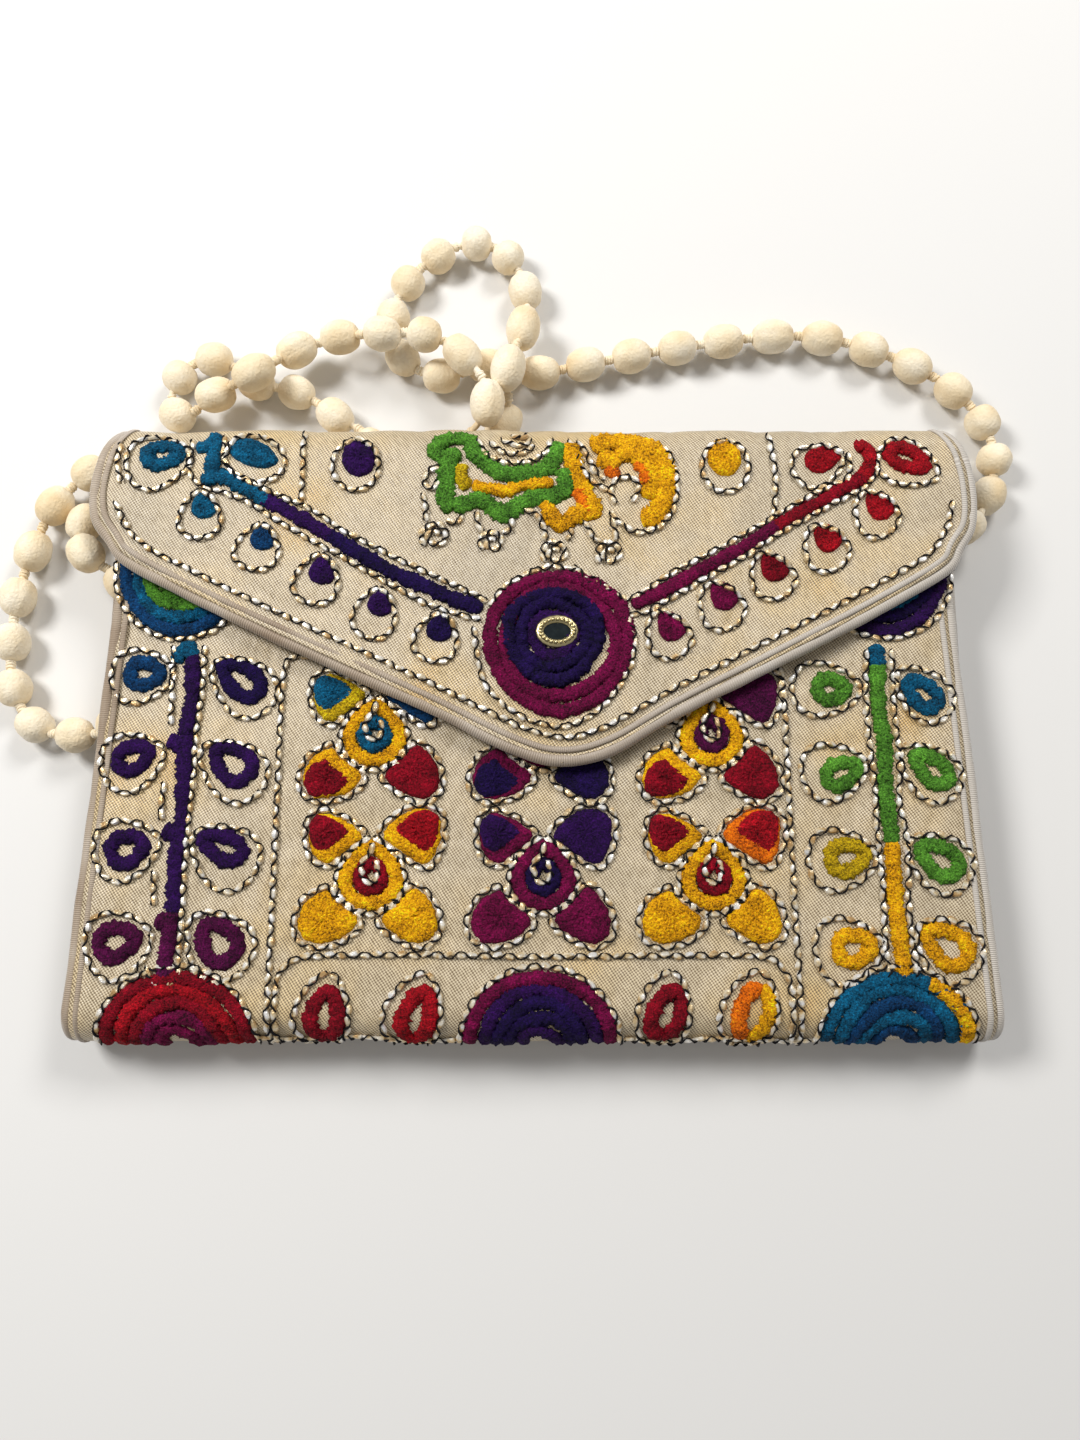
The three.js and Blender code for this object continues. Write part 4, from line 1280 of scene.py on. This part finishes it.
def round_rows(motif, x, y, rows, start=0, end=360, height=ROW_HEIGHT):
    """Rows of chenille round a centre, each (colour, radius), with a slit of cloth here and there."""
    closed = end - start >= 360
    for k, (name, radius) in enumerate(rows):
        points = []
        steps = max(10, round(radius * abs(end - start) / 90))
        for i in range(steps + (not closed)):
            angle = math.radians(start + (end - start) * i / steps)
            reach = radius + 0.45 * math.sin(3 * angle + k * 1.9)
            points.append(Vector((x + reach * math.cos(angle), y + reach * math.sin(angle))))
        motif.row(name, points, height=height, closed=closed)


def front_medallions():
    for name, x, hues in [
        ("left", -86.6, ["crimson", "red", "crimson", "maroon", "maroon"]),
        ("middle", 1.7, ["maroon", "violet", "navy", "navy", "violet"]),
        ("right", 88.5, ["teal", "teal", "blue", "teal", "blue"]),
    ]:
        motif = Motif(on_front, hues[0])
        round_rows(motif, x, LOW_CENTRE_Y, zip(hues, (17.2, 14, 10.9, 7.8, 4.7)), 4, 176)
        if name == "right":
            motif.row("yellow", oval(x, LOW_CENTRE_Y, 35, 35, 0, 4, 66), STEM_WIDTH, 1.7)
        motif.finish(f"medallion_bottom_{name}")
        front.cord(oval(x, LOW_CENTRE_Y, 39.4, 39.4, 0, 4, 176))
    for name, x, hues in [
        ("left", -90.6, ["blue", "teal", "green", "green", "green"]),
        ("right", 90.6, ["violet", "navy", "teal", "blue", "teal"]),
    ]:
        motif = Motif(on_front, hues[0])
        round_rows(motif, x, TOP_CENTRE_Y, zip(hues, (15, 12, 9, 6, 3)))
        motif.finish(f"medallion_top_{name}")
        front.cord(oval(x, TOP_CENTRE_Y, 35.4, 35.4), closed=True)


def front_borders():
    front.cord([(-57, 17), (-61, 17), (-63.6, 13), (-63.9, -10), (-64, -40), (-64.2, -62), (-64.4, -79)])
    front.cord([(57, 15), (61, 15), (63.4, 11), (63.8, -10), (64.2, -40), (64.6, -62), (65, -79)])
    front.cord([(-62.6, -79), (-62.4, -66), (-60.5, -60.5), (-54, -58), (-30, -57.6), (2, -58), (30, -57.8),
                (55, -58), (60.5, -61), (62.5, -66), (63, -79)])
    for start, end in [(-67, -18.5), (22, 68)]:
        middle = (start + end) / 2
        front.cord([(start, -77.4), (start + 9, -78), (middle, -77.2), (end - 8, -78), (end, -77.6)])
    front.finish("front_silver", ["front_border_cord"])


front_vine_left()
front_vine_right()
front_flowers()
front_drops()
front_medallions()
front_borders()


def flap_vine_left():
    leaves = [
        ("teal", (-96, 69.6, 12, 8.5, 8), (-97, 67.6, 17, 14.5, 10)),
        ("teal", (-72.8, 69.8, 13.5, 6.8, -22), (-72, 68, 15.5, 12.5, -15), False, 0.05),
    ]
    drops = [
        ("teal", (-84.7, 55.8, 7.2, 5.8, 90), (-85.5, 52.9, 12.5, 10.5, 90)),
        ("blue", (-69, 47.2, 7, 5.8, 80), (-70.4, 44.2, 12, 11, 80)),
        ("violet", (-53.5, 38.4, 7.6, 6.2, 80), (-55, 35.8, 13, 11, 80)),
        ("violet", (-38.6, 29.8, 7, 5.8, 80), (-40, 26.8, 13, 10.5, 80)),
        ("navy", (-23.6, 23.2, 7, 5.8, 80), (-24.4, 20.6, 12.5, 10.5, 80)),
    ]
    leaves += [(*drop, False) for drop in drops]
    stems = [
        ("teal", [(-88, 71.6), (-85, 72.4), (-82.6, 76.4)]),
        ("teal", [(-83, 75.5), (-83, 69), (-83.6, 61.6)]),
        ("teal", [(-86, 61.8), (-80.5, 63.3), (-75, 60.4), (-68, 56.4)]),
        ("violet", [(-70.4, 58), (-61, 52.8), (-51.4, 47)]),
        ("navy", [(-53, 48), (-43.5, 42.2), (-36.5, 38), (-28, 34.2)]),
        ("navy", [(-29.6, 35), (-21, 31), (-12.6, 28)]),
    ]
    cords = [
        [(-88.8, 74), (-89, 66), (-86.2, 61.2), (-80, 59), (-73, 56.2), (-66, 51.6), (-58, 46.8),
         (-49, 41.8), (-41, 37.2), (-33, 32.6), (-26, 29), (-19, 26.6), (-13, 25.2)],
        [(-80.6, 75), (-79.4, 66.5), (-73, 62), (-66, 58.4), (-57, 54.4), (-49, 49), (-41, 44.6),
         (-33, 40.4), (-25, 36.6), (-17, 32.8), (-11.5, 30)],
    ]
    vine("flap_vine_left", flap, "teal", leaves, stems, cords, 3.9)


def flap_vine_right():
    leaves = [
        ("red", (75.2, 68.4, 9.6, 6.4, 20), (73.6, 66.4, 13.5, 11, 20), False),
        ("red", (97, 68.4, 12.5, 8, -28), (97, 66.8, 16, 12.5, -25)),
    ]
    drops = [
        ("red", (88.8, 55.8, 8.4, 6, -58), (87.6, 53.3, 12.5, 10.5, -60)),
        ("red", (75, 47.2, 8, 6.2, -60), (74.4, 44.2, 12.5, 11, -60)),
        ("crimson", (61.2, 39.4, 8, 6.2, -60), (60.4, 36.8, 12.5, 10.5, -60)),
        ("maroon", (48, 31.8, 8, 6.2, -60), (47.2, 28.9, 12.5, 11, -60)),
        ("maroon", (34.6, 24, 8.2, 6.4, -60), (33.7, 21.4, 12.5, 10.5, -60)),
    ]
    leaves += [(*drop, False, -0.3) for drop in drops]
    stems = [
        ("red", [(83.4, 71.6), (86.4, 71.8), (87.2, 67), (84.6, 62.4)], 3.8),
        ("crimson", [(86, 63.6), (73.5, 56.4), (61.2, 49.4)], 3.7),
        ("maroon", [(63, 50.6), (53, 44), (42.5, 38.4), (34, 33.4), (24.8, 28.8)], 3.6),
        ("maroon", [(24, 28.8), (19, 30.6), (14.5, 34.2), (11, 37)], 3),
    ]
    cords = [
        [(81.6, 70), (81.4, 63.4), (76, 60.4), (68, 56.2), (59, 50.8), (50, 45.6), (40, 40.2),
         (31, 34.6), (24.6, 30.8), (19.6, 32.6), (15, 36), (10, 39.4)],
        [(89.8, 66), (85.4, 60.6), (78, 56.6), (70, 52), (61.6, 47.2), (53, 41.4), (44, 36.2),
         (36, 31.6), (29, 27.4), (24, 26.2)],
    ]
    vine("flap_vine_right", flap, "crimson", leaves, stems, cords)


def flap_ovals():
    for name, x, hue, loop in [
        ("left", -45.2, "violet", (-46, 66.4, 13.5, 12, 95)),
        ("right", 49.4, "yellow", (49.6, 66, 14, 12, 85)),
    ]:
        motif = Motif(on_flap, hue)
        pad = (x, 68.8, 11, 9, 95)
        motif.pad(hue, oval(*pad), 1.5)
        motif.finish(f"flap_oval_{name}")
        flap.cord(oval(*loop), closed=True, climb=over_pad(*pad))


def elephant():
    motif = Motif(on_flap, "green", "yellow", "olive", "orange")
    for hue, points, width in [
        ("green", [(-15, 72.6), (-18.5, 74.4), (-23, 73.8), (-25.6, 71), (-23, 68.6), (-18.5, 69.8)], 4.4),
        ("green", [(-16.8, 73), (-13.8, 68.4), (-9.5, 65), (-4, 63.8), (1.6, 64.8), (5.2, 68),
                   (6.6, 73.4)], 4.8),
        ("green", [(-22, 69), (-22.6, 61.5), (-22.4, 56.4), (-20.4, 54.4)], 4.8),
        ("green", [(-21, 55), (-16.5, 56.4), (-13.6, 57.2), (-10.4, 54.8), (-7.4, 53.4), (-4, 55.4),
                   (0, 57.6), (5.2, 58.2), (8.2, 60.4), (8, 66)], 4.6),
        ("olive", [(-18.4, 67), (-18.4, 62.4), (-16, 60.8)], 3.4),
        ("yellow", [(-16, 61), (-11, 60.2), (-7, 59.6), (-3.4, 60.8), (2, 61.6), (5.4, 61.6)], 3.2),
        ("yellow", [(9, 73), (10.4, 67), (12.4, 61), (14.8, 56), (15.6, 51.6)], 4.8),
        ("orange", [(11.4, 60.4), (13, 56.6), (14.2, 53)], 4.2),
        ("yellow", [(2.6, 57), (4.6, 53), (7.2, 50.6), (10.5, 52.6), (13.5, 54.4), (15.2, 51.6)], 4.6),
        ("yellow", [(14.6, 72.4), (20, 73.4), (25, 73), (30, 71.6), (33, 68.2), (34.4, 63), (33.8, 57.4),
                    (31.2, 53), (27.4, 52.4)], 5.6),
        ("yellow", [(16.6, 69.4), (20, 68), (22.6, 66.4)], 5.4),
        ("orange", [(18.4, 66), (21, 64.6), (22.6, 64.8)], 3.8),
        ("yellow", [(21, 70.4), (26, 69.4), (29.6, 66), (30.4, 61.5), (29.4, 57.2)], 5.4),
        ("orange", [(26.4, 67.6), (29, 64.4), (29, 60.6)], 3.4),
    ]:
        motif.row(hue, points, width)
    motif.finish("elephant")
    for points in [
        [(21, 55.5), (20, 59), (21, 62), (24.5, 63.2), (26.8, 61.4), (26.8, 58.6), (25, 56.6)],
        [(9.2, 74.2), (11, 69.6), (13, 64.8), (16.4, 61.2), (19.6, 59.6)],
        [(11.4, 73.8), (14, 69.2), (15.6, 65.4), (18.6, 62.2)],
        [(-14.5, 73.8), (-12.4, 69.6), (-9, 67.6), (-4, 67), (0.5, 68), (3.6, 70.6), (4.8, 74)],
        [(-11.5, 73), (-8, 70), (-3.5, 69.6), (0.4, 72)],
        [(-8.6, 74.4), (-6, 72.4), (-2.6, 72), (-0.4, 74)],
        [(-6, 75.6), (-3.6, 74.2), (-1.4, 75.4)],
        [(33, 72), (35.8, 68), (37, 62.5), (36.4, 56), (33.5, 51), (28.5, 48.2), (24, 49.4), (21, 52),
         (19.6, 54)],
        [(-28.5, 59), (-27.6, 55), (-27.6, 51)],
        [(-18, 53), (-19.5, 51), (-22.5, 51)],
        [(-14.6, 54), (-14.2, 50.5), (-12.6, 48.4)],
        [(-5.4, 52.4), (-6, 49.4), (-8, 47.8)],
        [(-2.6, 54.6), (1, 52.6), (2.6, 49.4), (3.2, 45.8)],
        [(10, 49.4), (8.8, 46)],
        [(13, 51.2), (14.8, 47.8), (17, 45.2)],
        [(20, 52.4), (20.6, 49), (21.4, 45.8)],
        [(-24, 66), (-27, 65), (-28.2, 61.6), (-26, 60), (-24.4, 62.6)],
    ]:
        flap.cord(points)
    for x, y, size in [(-25, 47.2, 7.8), (-10.5, 45.8, 6.6), (5.6, 42.8, 7), (19.6, 42.6, 7)]:
        coil = [(0.85 * k, size / 2 * (0.25 + 0.75 * k / 12)) for k in range(13)]
        flap.cord([(x + math.cos(angle) * reach, y + math.sin(angle) * reach) for angle, reach in coil])


def flap_medallion():
    outer = Motif(on_flap, "maroon")
    round_rows(outer, 6.5, 19.6, [("maroon", 17.3), ("maroon", 14)])
    outer.finish("flap_medallion")
    heart = Motif(on_flap, "violet", "navy")
    round_rows(heart, 5, 21.2, [("navy", 11.3), ("navy", 8.4)], height=1.8)
    round_rows(heart, 5, 21.2, [("violet", 5.2)], height=1)
    heart.finish("flap_medallion_heart")
    flap.cord([(-11.4, 28.6), (-6.4, 34.4), (2, 38.8), (10, 38.4), (14.4, 34.8), (18, 30.4)])
    flap.cord([(-15, 23.5), (-14, 16), (-12, 8.5), (-6.5, 2.6), (0, -0.8), (7, -2), (14, 0.4), (20.4, 6.6),
               (24.6, 14.5), (25.4, 20.5), (23.4, 26)])


def mirror_ring():
    """A band round the mirror, wound with wire."""
    shape = new_shape()
    for k in range(WIRE_TURNS):
        angle = 2 * math.pi * k / WIRE_TURNS
        outer = Vector((math.cos(angle) * 4.9, math.sin(angle) * 3.5, 1.5))
        inner = Vector((math.cos(angle + 0.2) * 3.6, math.sin(angle + 0.2) * 2.5, 1.65))
        seats = [(MIRROR + outer.lerp(inner, step / 4), UPWARDS) for step in range(5)]
        rings = [
            (point + UPWARDS * 0.3 * math.sin(math.pi * step / 4), side, up, 0.42, 0.3, 0.3)
            for step, (point, side, up) in enumerate(frames(seats))
        ]
        taper(rings)
        tube(shape, rings, 6)
    band = oval(MIRROR.x, MIRROR.y, 8.8, 6.4)
    seats = [(Vector((x, y, FLAP_TOP + 0.9)), UPWARDS) for x, y in (*band, band[0])]
    rings = [(point, side, up, 1.1, 0.5, 0.8) for point, side, up in frames(seats)]
    rings[-1] = rings[0]
    tube(shape, rings, 8)
    finish_piece("mirror_ring_wire", shape, [GILT_WIRE], ["mirror_ring"])


def mirror():
    """A small domed disc."""
    shape = new_shape()

    def place(across, share):
        angle = 2 * math.pi * across
        reach = math.sin(math.pi / 2 * share)
        rise = 0.7 + 0.35 * math.sqrt(1 - share ** 2)
        return MIRROR + Vector((3.8 * reach * math.cos(angle), 2.7 * reach * math.sin(angle), rise))

    woven(shape, columns=32, rows=8, place=place)
    finish_piece("mirror_disc", shape, [MIRROR_GLASS], ["mirror"])


def flap_borders():
    flap.cord([p for p in flap_outline(BORDER_INSET)[::12] if p.y < BORDER_TOP])
    flap.cord([(-60, 77), (-59.6, 66), (-59.6, 56.5)])
    flap.cord([(61.4, 76), (62.4, 62), (61.6, 52)])
    flap.cord([(-107.4, 73), (-107.8, 67), (-106.4, 61.5)])
    flap.finish("flap_silver", ["flap_border_cord"])


flap_vine_left()
flap_vine_right()
flap_ovals()
elephant()
flap_medallion()
mirror_ring()
mirror()
flap_borders()


# The press fastener keeps its own solids
for node in ("snap_socket", "snap_stud"):
    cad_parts[node].data.materials.clear()
    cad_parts[node].data.materials.append(SNAP_STEEL)


# Table, lamps and surroundings

def table():
    shape = bmesh.new()
    bmesh.ops.create_grid(shape, x_segments=1, y_segments=1, size=3)
    mesh = bpy.data.meshes.new("table")
    shape.to_mesh(mesh)
    shape.free()
    top = bpy.data.objects.new("table", mesh)
    bpy.context.scene.collection.objects.link(top)
    finish = Finish("table", Roughness=0.9)
    finish.feed("Base Color", colour(222, 220, 216))
    mesh.materials.append(finish.material)


def lamp(name, place, size, power):
    """A square lamp that shines on the bag."""
    light = bpy.data.lights.new(name, "AREA")
    light.energy = power
    light.size = size
    holder = bpy.data.objects.new(name, light)
    holder.location = place
    holder.rotation_euler = (-Vector(place)).to_track_quat("-Z", "Y").to_euler()
    bpy.context.scene.collection.objects.link(holder)


def surroundings():
    world = bpy.data.worlds.new("studio")
    bpy.context.scene.world = world
    world.use_nodes = True
    backdrop = world.node_tree.nodes["Background"]
    backdrop.inputs["Color"].default_value = colour(240, 240, 242)
    backdrop.inputs["Strength"].default_value = 0.35


table()
lamp("key", (-0.55, 0.35, 0.7), size=0.28, power=7.4)
lamp("second", (0.4, 0.65, 0.75), size=0.32, power=5.6)
surroundings()
bpy.context.scene.view_settings.view_transform = "Standard"
